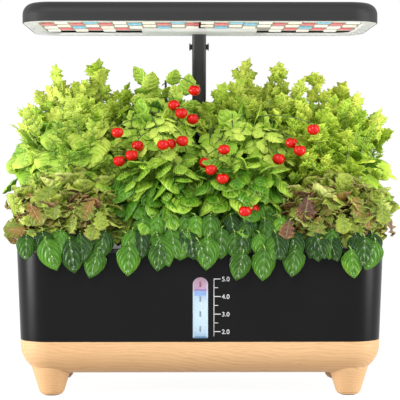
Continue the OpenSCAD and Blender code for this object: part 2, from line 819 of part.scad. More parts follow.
// Room that a crop may fill round its stem at height z above the sponge: [left, right, front, rear]
side_room = column_pitch / 2 - 0.6;
row_room = row_pitch / 2 - 0.6;
outer_room = cx + tank_r - 1.5 * column_pitch - 4;
flap_room = port_x - port_w / 2 - flap_over - 4 - 1.5 * column_pitch;
flap_sweep = port_w + 2 * flap_over + outer_room * stalk_slope;  // leaves above this clear the open flap
mast_room = column_pitch / 2 - sleeve_w / 2 - button_out - 1;
front_room = tank_d / 2 - row_pitch - row_shift - 2;
rear_room = tank_d / 2 - row_pitch + row_shift - 2;

function room(c, r, z) = [c == 0 ? outer_room : c == 2 && r == 2 ? mast_room : side_room,
                       c == 3 ? (r == 1 && z < flap_sweep ? flap_room : outer_room)
                              : c == 1 && r == 2 ? mast_room : side_room,
                       r == 0 ? front_room : row_room + (r == 1 && z > crop_h * basil_share ? lean : 0),
                       r == 2 ? rear_room : row_room];

// The side that a leaf at bearing a faces
function facing(a) = abs(cos(a)) > side_turn ? (cos(a) > 0 ? 0 : 180) : (sin(a) > 0 ? 90 : -90);

// A pointed leaf along +X: two arcs that meet at stalk and tip
module leaf(len, wid) {
    a = len / 2;
    b = wid / 2;
    r = (a * a + b * b) / (2 * b);
    translate([0, 0, -leaf_t / 2]) linear_extrude(leaf_t) intersection() {
        translate([a, r - b]) circle(r);
        translate([a, b - r]) circle(r);
    }
}

// A leaf on its stalk: the stalk runs from the stem out to a spot, and the blade stands or hangs from there
module spray(spot, rise, len, wid, face, tilt, roll) {
    out = norm(spot);
    rotate(atan2(spot[1], spot[0])) rotate([0, -atan2(rise, out), 0])
        translate([0, -stalk_w / 2, -stalk_t / 2]) cube([norm([out, rise]), stalk_w, stalk_t]);
    translate([spot[0], spot[1], rise]) rotate(face) rotate([0, -tilt, 0]) rotate([roll, 0, 0])
        translate([-stalk_in, 0, 0]) leaf(len + stalk_in, wid);
}

// A stem with stalked leaves set round it by the golden angle, over a crown between two heights.
// The tilt runs from the lowest leaf to the highest. Between the heights in bare the front is free for fruit.
module crop(c, r, low, high, blade, count, tilts, turn, bare = [0, 0]) {
    stem_h = stem_share * high;
    translate([column_x[c], row_y[r], sponge_z]) {
        cylinder(r = stem_r, h = stem_h);
        for (i = [0 : count - 1]) {
            t = (i + 0.5) / count;
            a = turn + i * golden;
            face = facing(a);
            tilt = tilts[0] + (tilts[1] - tilts[0]) * t;
            size = blade * (1 - (1 - top_leaf) * t);
            dip = min(0, size[0] * sin(tilt));
            z = low - dip + (high - low - size[0] * abs(sin(tilt))) * t;
            rm = room(c, r, z + dip - leaf_clear);
            to_front = abs(face) == 90;
            ahead = (face == 0 ? rm[1] : face == 180 ? rm[0] : face == 90 ? rm[3] : rm[2]) - roll_room;
            aside = to_front ? (cos(a) > 0 ? rm[1] : rm[0]) : (sin(a) > 0 ? rm[3] : rm[2]);
            len = min(size[0], (ahead - stalk_least) / cos(tilt));
            wid = min(size[1], len * widest);
            crown_share = sqrt(1 - pow(2 * t - 1, 2) * crown_round) * (i % 3 == 2 ? inner_share : 1);
            out = max(stalk_least, (ahead - len * cos(tilt)) * crown_share);
            swing = to_front ? cos(a) / side_turn : sin(a) / sqrt(1 - side_turn ^ 2);
            shift = (aside - wid / 2) * crown_share * swing;
            spot = to_front ? [shift, out * sin(face)] : [out * cos(face), shift];
            rise = max(min(norm(spot) * stalk_slope, z - stalk_least), z - stem_h + stem_r);
            roll = leaf_roll * (i % 2 == 0 ? 1 : -1);
            if (z < bare[0] || z + dip > bare[1] || sin(a) > rear_half)
                translate([0, 0, z - rise]) spray(spot, rise, len, wid, face, tilt, roll);
        }
    }
}

// Round fruit up the front of a stem, between two heights
module fruit(c, r, bare) {
    translate([column_x[c], row_y[r], sponge_z]) for (k = [0 : fruit_count - 1])
        rotate(-90 + (k % 2 == 0 ? 14 : -14))
            translate([fruit_r + stem_r - 0.8, 0, bare[0] + (bare[1] - bare[0]) * (k + 0.5) / fruit_count])
                sphere(r = fruit_r);
}

module lettuce(c) {
    color(pale_green) crop(c, 0, leaf_low, crop_h * lettuce_share, lettuce_leaf,
                           count = 24, tilts = [22, 70], turn = 12);
}

module basil(c) {
    color(basil_green) crop(c, 0, leaf_low, crop_h * basil_share, basil_leaf,
                            count = 26, tilts = [-70, -25], turn = 20);
}

module parsley(r, share) {
    color(leaf_green) crop(3, r, parsley_low, crop_h * share, parsley_leaf,
                           count = 28, tilts = [45, 78], turn = 36);
}

module celery(c) {
    color(leaf_green) crop(c, 2, celery_low, crop_h, celery_leaf,
                           count = 32, tilts = [45, 78], turn = 45);
}

module chard() {
    color(pale_green) crop(0, 1, middle_low, crop_h * chard_share, chard_leaf,
                           count = 28, tilts = [30, 74], turn = 30);
}

module tomato(c, r, share) {
    low = crop_h * share * truss_share;
    bare = [low, low + fruit_count * (2 * fruit_r + 1)];
    color(basil_green) crop(c, r, middle_low, crop_h * share, tomato_leaf,
                            count = 34, tilts = [-62, -28], turn = 15, bare = bare);
    color(fruit_red) fruit(c, r, bare);
}

module lettuce_front_left() { lettuce(0); }
module basil_front_left() { basil(1); }
module basil_front_right() { basil(2); }
module lettuce_front_right() { lettuce(3); }
module chard_middle_left() { chard(); }
module tomato_middle_left() { tomato(1, 1, middle_share); }
module tomato_middle_right() { tomato(2, 1, middle_share); }
module parsley_middle_right() { parsley(1, 0.74); }
module celery_rear_left() { celery(0); }
module tomato_rear_left() { tomato(1, 2, 1); }
module celery_rear_right() { celery(2); }
module parsley_rear_right() { parsley(2, 0.84); }

stand();
foot_pads();
stand_screws();
tank();
window_lens();
window_seal();
float_guide();
level_float();
deck_seal();
deck();
grow_baskets();
grow_sponges();
fill_flap();
flap_pin();
pump_body();
pump_grille();
riser_pipe();
pump_lead();
lead_grommet();
power_inlet();
mast_post();
post_screws();
mast_sleeve();
mast_head();
release_button_left();
release_button_right();
release_spring();
lamp_housing();
lamp_bezel();
bezel_screws();
light_boards();
white_tiles();
warm_tiles();
red_tiles();
blue_tiles();
hub_cover();
control_board();
light_button();
pump_button();
link_button();
lettuce_front_left();
basil_front_left();
basil_front_right();
lettuce_front_right();
chard_middle_left();
tomato_middle_left();
tomato_middle_right();
parsley_middle_right();
celery_rear_left();
tomato_rear_left();
celery_rear_right();
parsley_rear_right();
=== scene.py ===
"""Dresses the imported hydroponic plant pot: finishes for its solids, the volume scale, and the living crop."""
import math
from collections import namedtuple

import bpy
import numpy as np
from numpy import cos, pi, sin
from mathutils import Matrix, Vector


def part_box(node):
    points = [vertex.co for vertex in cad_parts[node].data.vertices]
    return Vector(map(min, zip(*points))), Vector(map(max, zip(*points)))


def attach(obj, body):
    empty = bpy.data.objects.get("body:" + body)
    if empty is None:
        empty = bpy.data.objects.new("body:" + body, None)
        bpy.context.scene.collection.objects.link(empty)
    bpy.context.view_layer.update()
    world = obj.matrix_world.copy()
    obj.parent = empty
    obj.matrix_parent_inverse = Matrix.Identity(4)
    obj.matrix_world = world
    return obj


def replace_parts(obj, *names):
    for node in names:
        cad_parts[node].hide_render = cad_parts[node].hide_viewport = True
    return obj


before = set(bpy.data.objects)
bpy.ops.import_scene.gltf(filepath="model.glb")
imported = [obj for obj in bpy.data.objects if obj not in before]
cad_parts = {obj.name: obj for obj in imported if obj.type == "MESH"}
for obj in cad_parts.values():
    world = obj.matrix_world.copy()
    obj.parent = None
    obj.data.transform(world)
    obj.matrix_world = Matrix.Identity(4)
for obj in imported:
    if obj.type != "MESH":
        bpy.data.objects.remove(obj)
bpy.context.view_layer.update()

# Camera at the photograph's viewing angle
CAMERA_AT = (-0.015, -1.606, 0.253)
CAMERA_PITCH = math.radians(90 - 1.69)
CAMERA_YAW = math.radians(-0.551)
CAMERA_LENS = 131.0
SENSOR_WIDTH = 36


def link(thing):
    """Puts an object in the scene."""
    bpy.context.scene.collection.objects.link(thing)


def add_camera():
    """A long lens in front of the pot, a little above the deck."""
    data = bpy.data.cameras.new("view_camera")
    data.lens = CAMERA_LENS
    data.sensor_width = SENSOR_WIDTH
    camera = bpy.data.objects.new("view_camera", data)
    camera.location = CAMERA_AT
    camera.rotation_euler = (CAMERA_PITCH, 0, CAMERA_YAW)
    link(camera)
    bpy.context.scene.camera = camera


add_camera()


# Shader maths and nodes
def maths(operation, swapped=False):
    """A method that adds a Math node; swapped puts the other value first."""
    def method(self, other=0.0):
        first, second = (other, self) if swapped else (self, other)
        return self.paint.field("Math", {0: first, 1: second}, operation=operation)
    return method


class Field:
    """A shader value: arithmetic on it adds Math nodes to its material."""

    def __init__(self, paint, socket):
        self.paint = paint
        self.socket = socket

    __add__ = __radd__ = maths("ADD")
    __mul__ = __rmul__ = maths("MULTIPLY")
    __sub__ = maths("SUBTRACT")
    __rsub__ = maths("SUBTRACT", swapped=True)
    __truediv__ = maths("DIVIDE")
    __rtruediv__ = maths("DIVIDE", swapped=True)
    __pow__ = maths("POWER")
    __abs__ = maths("ABSOLUTE")
    fract = maths("FRACT")

    def zigzag(self):
        """Distance from the middle of each whole step: 0 in the middle and 0.5 at its ends."""
        return abs(self.fract() - 0.5)

    def clamp(self):
        return self.paint.field("Math", {0: self, 1: 0.0}, operation="ADD", use_clamp=True)

    def over(self, low, high):
        """0 below low, 1 above high and a straight ramp between them."""
        return ((self - low) / (high - low)).clamp()


class Paint:
    """The nodes of one material, or of the world, all added by one method."""

    def __init__(self, name, kind="materials"):
        self.owner = getattr(bpy.data, kind).new(name)
        self.owner.use_nodes = True
        self.tree = self.owner.node_tree
        self.tree.nodes.clear()

    def node(self, kind, inputs=None, **settings):
        """Adds a node: its settings first, a ramp's stops among them, then its sockets' values or links."""
        made = self.tree.nodes.new("ShaderNode" + kind)
        for key, value in settings.items():
            if key == "stops":
                self.set_stops(made.color_ramp, value)
            else:
                setattr(made, key, value)
        for key, value in (inputs or {}).items():
            self.feed(made.inputs[key], value)
        return made

    @staticmethod
    def set_stops(ramp, stops):
        while len(ramp.elements) < len(stops):
            ramp.elements.new(1.0)
        for element, (place, colour) in zip(ramp.elements, stops):
            element.position = place
            element.color = (*colour, 1.0)

    def feed(self, socket, value):
        if isinstance(value, Field):
            self.tree.links.new(value.socket, socket)
        elif isinstance(value, tuple) and len(value) == 3 and len(socket.default_value) == 4:
            socket.default_value = (*value, 1.0)
        else:
            socket.default_value = value

    def field(self, kind, inputs=None, output=0, **settings):
        """A new node's output as a shader value."""
        return Field(self, self.node(kind, inputs, **settings).outputs[output])

    def place(self):
        """Object coordinates, in metres."""
        return self.field("TexCoord", output="Object")

    def axes(self, vector):
        split = self.node("SeparateXYZ", {0: vector})
        return [Field(self, socket) for socket in split.outputs]

    def stretched(self, vector, scale):
        return self.field("Mapping", {"Vector": vector, "Scale": scale})

    def noise(self, vector, scale, detail=2.0, roughness=0.5):
        inputs = {"Vector": vector, "Scale": scale, "Detail": detail, "Roughness": roughness}
        return self.field("TexNoise", inputs)

    def mix(self, factor, first, second):
        return self.field("Mix", {0: factor, 6: first, 7: second}, output=2, data_type="RGBA")

    def ramp(self, factor, stops):
        return self.field("ValToRGB", {0: factor}, stops=stops)

    def bump(self, height, strength, distance):
        return self.field("Bump", {"Height": height, "Strength": strength, "Distance": distance})

    def end(self, shader, kind="Material"):
        """Links a shader to the output."""
        self.node("Output" + kind, {0: shader})
        return self.owner

    def done(self, **sockets):
        """Ends the material in a Principled shader; a socket's spaces are written as underscores."""
        inputs = {key.replace("_", " "): value for key, value in sockets.items()}
        return self.end(self.field("BsdfPrincipled", inputs))


# Finishes of the solids
GRAIN_DEPTH = 0.0004
# Painted glow on the float guide: it gives light though it is no lamp
GUIDE_PAINTED_GLOW = 0.15
# Painted glow on the light boards, standing in for the chips' light falling on them
BOARD_PAINTED_GLOW = 0.15
TILE_GLOW = 0.4
TILE_PITCH = 0.0067

# Light tiles: colour over the chips, and between them
TILE_TONES = {
    "white": ((0.92, 0.91, 0.82), (0.62, 0.6, 0.5)),
    "warm": ((0.92, 0.86, 0.72), (0.62, 0.56, 0.42)),
    "red": ((0.68, 0.15, 0.15), (0.44, 0.1, 0.09)),
    "blue": ((0.2, 0.52, 0.68), (0.12, 0.34, 0.46)),
}


def moulded(name, colour, roughness, grain=2600.0, relief=0.06, specular=0.5, glow=0.0):
    """Moulded plastic: fine spark-eroded grain, slow changes of tone and gloss, and an even painted glow where
    one is given.
    """
    p = Paint(name)
    at = p.place()
    slow = p.noise(at, 14.0, 3.0)
    fine = p.noise(at, grain, 1.0)
    pale = tuple(min(1.0, c * 1.25 + 0.002) for c in colour)
    return p.done(
        Base_Color=p.mix(slow, colour, pale), Roughness=roughness - 0.05 + 0.1 * slow,
        Specular_IOR_Level=specular, Emission_Color=colour, Emission_Strength=glow,
        Normal=p.bump(fine, relief, GRAIN_DEPTH))


def oak_finish():
    """Pale lacquered oak: growth rings cut along the grain, fine pores, and darker late wood."""
    p = Paint("stand_oak")
    at = p.place()
    x, y, z = p.axes(at)
    drift = p.noise(p.stretched(at, (5.0, 14.0, 22.0)), 1.0, 3.0, 0.55)
    rings = z * 330.0 + x * 22.0 + y * 80.0 + drift * 11.0
    late = rings.zigzag().over(0.28, 0.5)
    pores = p.noise(p.stretched(at, (60.0, 1500.0, 1500.0)), 1.0, 2.0, 0.6).over(0.56, 0.72)
    broad = p.noise(p.stretched(at, (3.0, 20.0, 30.0)), 1.0, 2.0)
    wood = p.ramp(broad, [(0.25, (0.61, 0.362, 0.172)), (0.75, (0.74, 0.47, 0.248))])
    wood = p.mix(late * 0.34, wood, (0.47, 0.26, 0.115))
    wood = p.mix(pores * 0.42, wood, (0.38, 0.2, 0.085))
    height = 1.0 - pores * 0.7 - late * 0.25
    return p.done(Base_Color=wood, Roughness=0.4 + 0.14 * pores + 0.06 * late, Specular_IOR_Level=0.15,
                  Normal=p.bump(height, 0.12, GRAIN_DEPTH))


def rubber_finish():
    """Dull rubber with a faint dusty bloom."""
    p = Paint("seal_rubber")
    bloom = p.noise(p.place(), 180.0, 3.0)
    return p.done(Base_Color=p.mix(bloom, (0.028, 0.028, 0.028), (0.048, 0.048, 0.048)),
                  Roughness=0.72 + 0.15 * bloom)


def steel_finish():
    """Zinc-plated steel with fine turning lines."""
    p = Paint("zinc_steel")
    lines = p.noise(p.stretched(p.place(), (400.0, 400.0, 4000.0)), 1.0, 2.0)
    return p.done(Base_Color=p.mix(lines, (0.5, 0.51, 0.52), (0.66, 0.66, 0.65)), Metallic=1.0,
                  Roughness=0.26 + 0.16 * lines)


def lens_finish(low, high, level):
    """Clear window: a blush of lamp light above the water, and pale blue below its level."""
    p = Paint("window_lens_clear")
    z = p.axes(p.place())[2]
    mark = (level - low) / (high - low)
    stops = [(0.0, (0.3, 0.62, 0.95)), (0.16, (0.66, 0.87, 1.0)), (mark - 0.02, (0.7, 0.88, 1.0)),
             (mark, (0.8, 0.28, 0.38)), (1.0, (0.7, 0.24, 0.34))]
    haze = p.noise(p.place(), 60.0, 2.0)
    return p.done(Base_Color=p.ramp((z - low) / (high - low), stops),
                  Roughness=0.07 + 0.05 * haze, Alpha=0.21 + 0.04 * haze)


def lit_tile(name, glow, edge):
    """A lit light tile: bright over its chips, dimmer in the gaps between them."""
    p = Paint(name)
    x, y = ((axis / TILE_PITCH).zigzag().over(0.1, 0.5) for axis in p.axes(p.place())[:2])
    colour = p.mix(1.0 - x * y * 0.6, edge, glow)
    return p.done(Base_Color=colour, Roughness=0.4, Emission_Color=colour, Emission_Strength=TILE_GLOW)


def board_finish(name, base, trace, glow=0.0):
    """Coated circuit board: broad copper under the coat, thin tracks, and a painted glow for the light of the
    chips beside it.
    """
    p = Paint(name)
    x, y = p.axes(p.place())[:2]
    tracks = (x * 240.0).zigzag().over(0.38, 0.42) * (y * 90.0).zigzag().over(0.1, 0.14)
    mottled = p.noise(p.place(), 120.0, 3.0)
    colour = p.mix(tracks * 0.6, p.mix(mottled, base, trace), trace)
    return p.done(Base_Color=colour, Roughness=0.45, Emission_Color=colour, Emission_Strength=glow)


def sponge_finish():
    """Open-celled growing sponge: dark pores in brown foam."""
    p = Paint("grow_sponge")
    cells = p.field("TexVoronoi", {"Vector": p.place(), "Scale": 520.0})
    return p.done(Base_Color=p.mix(cells.over(0.1, 0.6), (0.05, 0.03, 0.018), (0.2, 0.125, 0.07)),
                  Roughness=0.95, Normal=p.bump(cells, 0.6, 0.001))


def solid_finishes():
    """Each finish, with the solids that have it."""
    sill, arch = (corner.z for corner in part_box("window_lens"))
    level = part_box("level_float")[1].z
    tiles = [(lit_tile("tile_" + kind, *pair), kind + "_tiles") for kind, pair in TILE_TONES.items()]
    return tiles + [
        (oak_finish(), "stand"),
        (rubber_finish(), "foot_pads window_seal deck_seal pump_lead lead_grommet"),
        (steel_finish(), "stand_screws flap_pin post_screws release_spring bezel_screws"),
        (moulded("tank_plastic", (0.0042, 0.0042, 0.0046), 0.3, relief=0.03, specular=0.12), "tank"),
        (lens_finish(sill, arch, level), "window_lens"),
        # The guide's glow is painted light: the guide is no lamp
        (moulded("guide_plastic", (0.76, 0.89, 1.0), 0.4, glow=GUIDE_PAINTED_GLOW), "float_guide"),
        (moulded("float_plastic", (0.004, 0.24, 0.95), 0.3), "level_float"),
        (moulded("deck_plastic", (0.017, 0.017, 0.018), 0.42, specular=0.35), "deck fill_flap mast_head"),
        (moulded("basket_plastic", (0.012, 0.012, 0.012), 0.55), "grow_baskets power_inlet"),
        (sponge_finish(), "grow_sponges"),
        (moulded("pump_plastic", (0.045, 0.048, 0.052), 0.46), "pump_body pump_grille"),
        (moulded("pipe_milky", (0.62, 0.65, 0.68), 0.3), "riser_pipe"),
        (moulded("mast_anodised", (0.03, 0.03, 0.032), 0.33, grain=5200.0, relief=0.03), "mast_post"),
        (moulded("mast_powder", (0.026, 0.026, 0.028), 0.45, grain=3400.0, relief=0.1), "mast_sleeve"),
        (moulded("button_plastic", (0.022, 0.022, 0.024), 0.38),
         "release_button_left release_button_right light_button pump_button link_button"),
        (moulded("lamp_plastic", (0.018, 0.018, 0.0185), 0.5, relief=0.05, specular=0.22), "lamp_housing"),
        (moulded("bezel_plastic", (0.78, 0.78, 0.77), 0.5, relief=0.03, specular=0.1),
         "lamp_bezel hub_cover"),
        (board_finish("board_olive", (0.27, 0.23, 0.15), (0.36, 0.32, 0.22), BOARD_PAINTED_GLOW), "light_boards"),
        (board_finish("board_green", (0.03, 0.16, 0.07), (0.1, 0.3, 0.14)), "control_board"),
    ]


def dress_solids():
    """Gives every solid that stays in sight its finish."""
    for finish, names in solid_finishes():
        for name in names.split():
            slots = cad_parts[name].data.materials
            slots.clear()
            slots.append(finish)


# Meshes from arrays
Shape = namedtuple("Shape", "points quads tris uv tint")
NO_TRIS = np.zeros((0, 3), int)


def join_shapes(shapes):
    """Puts several shapes in one, with the face numbers moved on."""
    starts = np.cumsum([0] + [len(s.points) for s in shapes[:-1]])
    quads = np.concatenate([s.quads + n for s, n in zip(shapes, starts)])
    tris = np.concatenate([s.tris + n for s, n in zip(shapes, starts)])
    points, uv, tint = (np.concatenate([getattr(s, k) for s in shapes]) for k in ("points", "uv", "tint"))
    return Shape(points, quads, tris, uv, tint)


def plain_shape(points, quads, tris=NO_TRIS, tint=1.0):
    """A shape whose finish uses no map."""
    count = len(points)
    return Shape(points, quads, tris, np.zeros((count, 2)), np.full(count, tint))


def make_piece(name, shape, finish, body):
    """Puts a shape's arrays into a mesh, with its map and tint, and lets it ride on a body."""
    corners = np.concatenate([shape.quads.ravel(), shape.tris.ravel()]).astype(np.int32)
    sizes = np.concatenate([np.full(len(shape.quads), 4), np.full(len(shape.tris), 3)])
    starts = np.concatenate([[0], np.cumsum(sizes)[:-1]]).astype(np.int32)
    mesh = bpy.data.meshes.new(name)
    mesh.vertices.add(len(shape.points))
    mesh.vertices.foreach_set("co", shape.points.astype(np.float32).ravel())
    mesh.loops.add(len(corners))
    mesh.loops.foreach_set("vertex_index", corners)
    mesh.polygons.add(len(sizes))
    mesh.polygons.foreach_set("loop_start", starts)
    mesh.update(calc_edges=True)
    mesh.validate()
    chart = mesh.uv_layers.new(name="LeafMap")
    chart.data.foreach_set("uv", shape.uv[corners].astype(np.float32).ravel())
    tint = mesh.attributes.new("tint", "FLOAT", "POINT")
    tint.data.foreach_set("value", shape.tint.astype(np.float32))
    mesh.shade_smooth()
    mesh.materials.append(finish)
    piece = bpy.data.objects.new(name, mesh)
    link(piece)
    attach(piece, body)
    return piece


def grid_quads(count, rows, columns, wrap=False):
    """Corner numbers of the cells of many equal grids, one after the other."""
    numbers = np.arange(count * rows * columns).reshape(count, rows, columns)
    after = np.roll(numbers, -1, axis=2) if wrap else numbers[:, :, 1:]
    here = numbers if wrap else numbers[:, :, :-1]
    return np.stack([here[:, :-1], here[:, 1:], after[:, 1:], after[:, :-1]], axis=-1).reshape(-1, 4)


def closed_rings(count, steps, sides):
    """Corner numbers of many closed bodies of rings: their walls, and both ends as fans of triangles."""
    first = np.arange(count)[:, None, None] * steps * sides
    last = first + (steps - 1) * sides
    ends = np.arange(1, sides - 1)
    fan = np.stack([np.zeros_like(ends), ends, ends + 1], axis=-1)
    caps = np.concatenate([(first + fan).reshape(-1, 3), (last + fan[:, ::-1]).reshape(-1, 3)])
    return grid_quads(count, steps, sides, wrap=True), caps


def unit(vectors):
    """The same directions, one long."""
    return vectors / np.linalg.norm(vectors, axis=-1, keepdims=True)


def xyz(x, y, z):
    """Coordinates put together as points."""
    return np.stack(np.broadcast_arrays(x, y, z), axis=-1)


def mm(*values):
    """Points or sizes given in millimetres."""
    return np.array(values) / 1000


def tubes(paths, radii, tints):
    """Round stalks: a circle of the given radius carried along each path, closed at both ends.

    paths is stalk x step x 3. At each step the ring lies square to the path's tangent.
    """
    count, steps = paths.shape[:2]
    tangent = unit(np.gradient(paths, axis=1))
    helper = np.where(abs(tangent[..., :1]) < 0.8, [[[1.0, 0.0, 0.0]]], [[[0.0, 1.0, 0.0]]])
    side = unit(np.cross(tangent, helper))
    up = np.cross(tangent, side)
    angle = np.linspace(0, 2 * pi, STALK_SIDES, endpoint=False)[:, None]
    ring = cos(angle) * side[:, :, None] + sin(angle) * up[:, :, None]
    points = (paths[:, :, None] + ring * radii[:, :, None, None]).reshape(-1, 3)
    quads, caps = closed_rings(count, steps, STALK_SIDES)
    share = np.broadcast_to(np.linspace(0, 1, steps)[None, :, None], (count, steps, STALK_SIDES))
    uv = np.stack([share, np.full_like(share, 0.5)], axis=-1).reshape(-1, 2)
    return Shape(points, quads[:, ::-1], caps[:, ::-1], uv, np.repeat(tints, steps * STALK_SIDES))


def arcs(start, bend, end, steps=7):
    """Curves from start to end that leave and arrive in line with bend: weights (1-t)^2, 2t(1-t), t^2."""
    t = np.linspace(0, 1, steps)[None, :, None]
    return (1 - t) ** 2 * start[:, None] + 2 * t * (1 - t) * bend[:, None] + t ** 2 * end[:, None]


# Leaves
Sites = namedtuple("Sites", "root heading rise lean length width droop roll tint")
Form = namedtuple("Form", "along half across cup fold quilt veins frill waves")
# A layer's shade shifts its leaves' tone: real tone for brown or young leaves, painted shade for the darker
# inner cores
Layer = namedtuple("Layer", "form count centre radii length width lift follow inner shade droop face parts",
                   defaults=((0.2, 0.6), -1, None))
Row = namedtuple("Row", "tips length tone loose")
UP = np.array([0.0, 0.0, 1.0])
LEAF_THICKNESS = 0.0004
LEAFLET_SIZE = 0.62
RIB_STEPS = 5

# Low and high corners of the room kept free for the mast, the flap's swing, the deck and the lowered lamp
KEEP_FREE = (mm((-13.5, 53, 150), (13.5, 82, 500)), mm((146, -33, 150), (250, 33, 199)),
             mm((-196.5, -96.7, 0), (196.5, 96.7, 159)), mm((-300, -200, 368.5), (300, 200, 600)))
CROP_HALF_WIDTH = 0.2135
CROP_HALF_DEPTH = 0.1103

# Stalks and stems
STEM_TOP = 0.1605
STEM_STEPS = 9
STALK_SIDES = 6
STALK_RADIUS = 0.0011
LEAFY_STALK = 0.0013
STALK_DROP = 0.55
BELOW_LEAF = 0.012
BEND_CLEAR = 0.004
INTO_LEAF = 0.002

# Outlines of leaves: places along the midrib, and the half widths there
NINE = np.linspace(0, 1, 9)
BASIL = Form(NINE, [0.1, 0.66, 0.94, 1.0, 0.96, 0.85, 0.67, 0.4, 0.02],
             across=5, cup=0.38, fold=0.06, quilt=0.08, veins=5, frill=0.03, waves=2.0)
HUNG = BASIL._replace(cup=0.36)
LETTUCE = Form([0.0, 0.14, 0.22, 0.36, 0.44, 0.58, 0.66, 0.8, 0.87, 1.0],
               [0.16, 0.5, 0.36, 0.82, 0.6, 1.0, 0.74, 0.92, 0.6, 0.1],
               across=5, cup=-0.15, fold=0.0, quilt=0.05, veins=4, frill=0.26, waves=4.0)
BOWL = Form(NINE, [0.3, 0.62, 0.84, 0.97, 1.0, 0.98, 0.88, 0.68, 0.25],
            across=5, cup=-0.42, fold=0.0, quilt=0.05, veins=4, frill=0.05, waves=3.0)
CHARD = Form(NINE, [0.08, 0.56, 0.86, 0.98, 1.0, 0.93, 0.79, 0.54, 0.05],
             across=5, cup=0.28, fold=0.06, quilt=0.1, veins=6, frill=0.07, waves=3.0)
TOOTHED = Form([0.0, 0.2, 0.27, 0.46, 0.53, 0.72, 0.79, 1.0],
               [0.1, 0.7, 0.38, 1.0, 0.52, 0.8, 0.36, 0.02],
               across=3, cup=0.0, fold=0.2, quilt=0.0, veins=3, frill=0.06, waves=2.0)
TOMATO = Form([0.0, 0.12, 0.28, 0.33, 0.48, 0.54, 0.68, 0.74, 0.88, 1.0],
              [0.06, 0.62, 0.98, 0.8, 1.0, 0.8, 0.84, 0.62, 0.42, 0.03],
              across=3, cup=0.28, fold=0.1, quilt=0.05, veins=5, frill=0.04, waves=2.0)

# Leaflets of a cut leaf: place along the leaf, turn to the side, size
SPRIG_PARTS = ((0.95, 0.0, 0.95), (0.92, 0.62, 0.74), (0.92, -0.62, 0.74), (0.72, 0.35, 0.6),
               (0.72, -0.35, 0.6), (0.5, 0.8, 0.72), (0.5, 1.35, 0.58), (0.5, -0.8, 0.72), (0.5, -1.35, 0.58))
CURLY_PARTS = ((1.0, 0.0, 0.8), (0.95, 0.6, 0.7), (0.95, -0.6, 0.7), (0.7, 1.0, 0.7), (0.7, -1.0, 0.7),
               (0.45, 1.0, 0.6), (0.45, -1.0, 0.6), (0.25, 1.1, 0.5), (0.25, -1.1, 0.5))
TOMATO_PARTS = ((1.0, 0.0, 1.0), (0.66, 1.0, 0.8), (0.66, -1.0, 0.8), (0.34, 1.0, 0.6), (0.34, -1.0, 0.6))


def blade_frame(sites, u):
    """Midrib points and the forward, sideways and normal directions at places u along it.

    The midrib leaves its root at the rise and turns down evenly by the droop: its two running
    integrals are differences of sines and of cosines, over the droop. The lean turns the whole leaf
    about its level heading.
    """
    angles = (sites.rise, sites.lean, sites.droop, sites.heading)
    rise, lean, droop, heading = (values.reshape(-1, 1) for values in angles)
    angle = rise - droop * u
    ahead = (sin(rise) - sin(angle)) / droop
    above = (cos(angle) - cos(rise)) / droop
    outward = xyz(cos(heading), sin(heading), 0.0)
    level = xyz(-sin(heading), cos(heading), 0.0)
    lean = lean[..., None]
    up = UP * cos(lean) + level * sin(lean)
    aside = level * cos(lean) - UP * sin(lean)
    step = outward * ahead[..., None] + up * above[..., None]
    midrib = sites.root[:, None] + sites.length[:, None, None] * step
    along = outward * cos(angle)[..., None] + up * sin(angle)[..., None]
    normal = up * cos(angle)[..., None] - outward * sin(angle)[..., None]
    return midrib, along, np.broadcast_to(aside, normal.shape), normal, angle


def leaf_points(sites, form):
    """Leaves as surfaces of u along the midrib and v across it, for all leaves at once.

    The blade is the half width times v to the side. Along the normal it is lowered by the cup times v
    squared, raised by the fold times |v|, swollen between the side veins, and frilled by a wave that
    grows with the cube of |v|. The blade turns about its midrib by the roll.
    """
    u = np.asarray(form.along)[None]
    v = np.linspace(-1, 1, form.across)[None, None]
    midrib, along, aside, normal, angle = blade_frame(sites, u)
    turn = (sites.roll[:, None] * (0.8 + 0.2 * u))[..., None]
    across = cos(turn) * aside + sin(turn) * normal
    normal = cos(turn) * normal - sin(turn) * aside
    half = (sites.width[:, None] * np.asarray(form.half)[None])[..., None]
    u = u[..., None]
    swell = sin(pi * form.veins * (u - 0.3 * abs(v))) ** 2 * abs(v) * (1 - v ** 2)
    phase = 40 * sites.rise[:, None, None]
    frill = sin(2 * pi * form.waves * u + phase + 1.5 * np.sign(v)) * abs(v) ** 3 * (0.3 + 0.7 * u)
    lift = form.fold * abs(v) - form.cup * v ** 2 + form.quilt * 2.6 * swell + form.frill * 2 * frill
    return (midrib[:, :, None] + across[:, :, None] * (half * v)[..., None]
            + normal[:, :, None] * (half * lift)[..., None])


def clear_of_pot(points):
    """True for each leaf or stalk that stays off deck, mast, lowered lamp and the flap's swing."""
    hit = (abs(points[..., 0]) > CROP_HALF_WIDTH) | (abs(points[..., 1]) > CROP_HALF_DEPTH)
    for low, high in KEEP_FREE:
        hit |= ((points > low) & (points < high)).all(axis=-1)
    return ~hit.reshape(len(points), -1).any(axis=1)


def chosen(sites, kept):
    """The sites that are kept."""
    return Sites(*(values[kept] for values in sites))


def leaves(sites, form):
    """The shape of all leaves that keep clear of the pot, and which sites those are."""
    points = leaf_points(sites, form)
    kept = clear_of_pot(points)
    points = points[kept]
    count, rows, columns = points.shape[:3]
    u = np.broadcast_to(np.asarray(form.along)[None, :, None], points.shape[:3])
    v = np.broadcast_to(np.linspace(0, 1, columns)[None, None, :], points.shape[:3])
    uv = np.stack([u, v], axis=-1).reshape(-1, 2)
    tint = np.repeat(sites.tint[kept], rows * columns)
    quads = grid_quads(count, rows, columns)
    shape = Shape(points.reshape(-1, 3), quads, NO_TRIS, uv, tint)
    return shape, chosen(sites, kept)


def heading_of(sites):
    """Unit vectors along which the leaves leave their roots."""
    return blade_frame(sites, np.zeros((1, 1)))[1][:, 0]


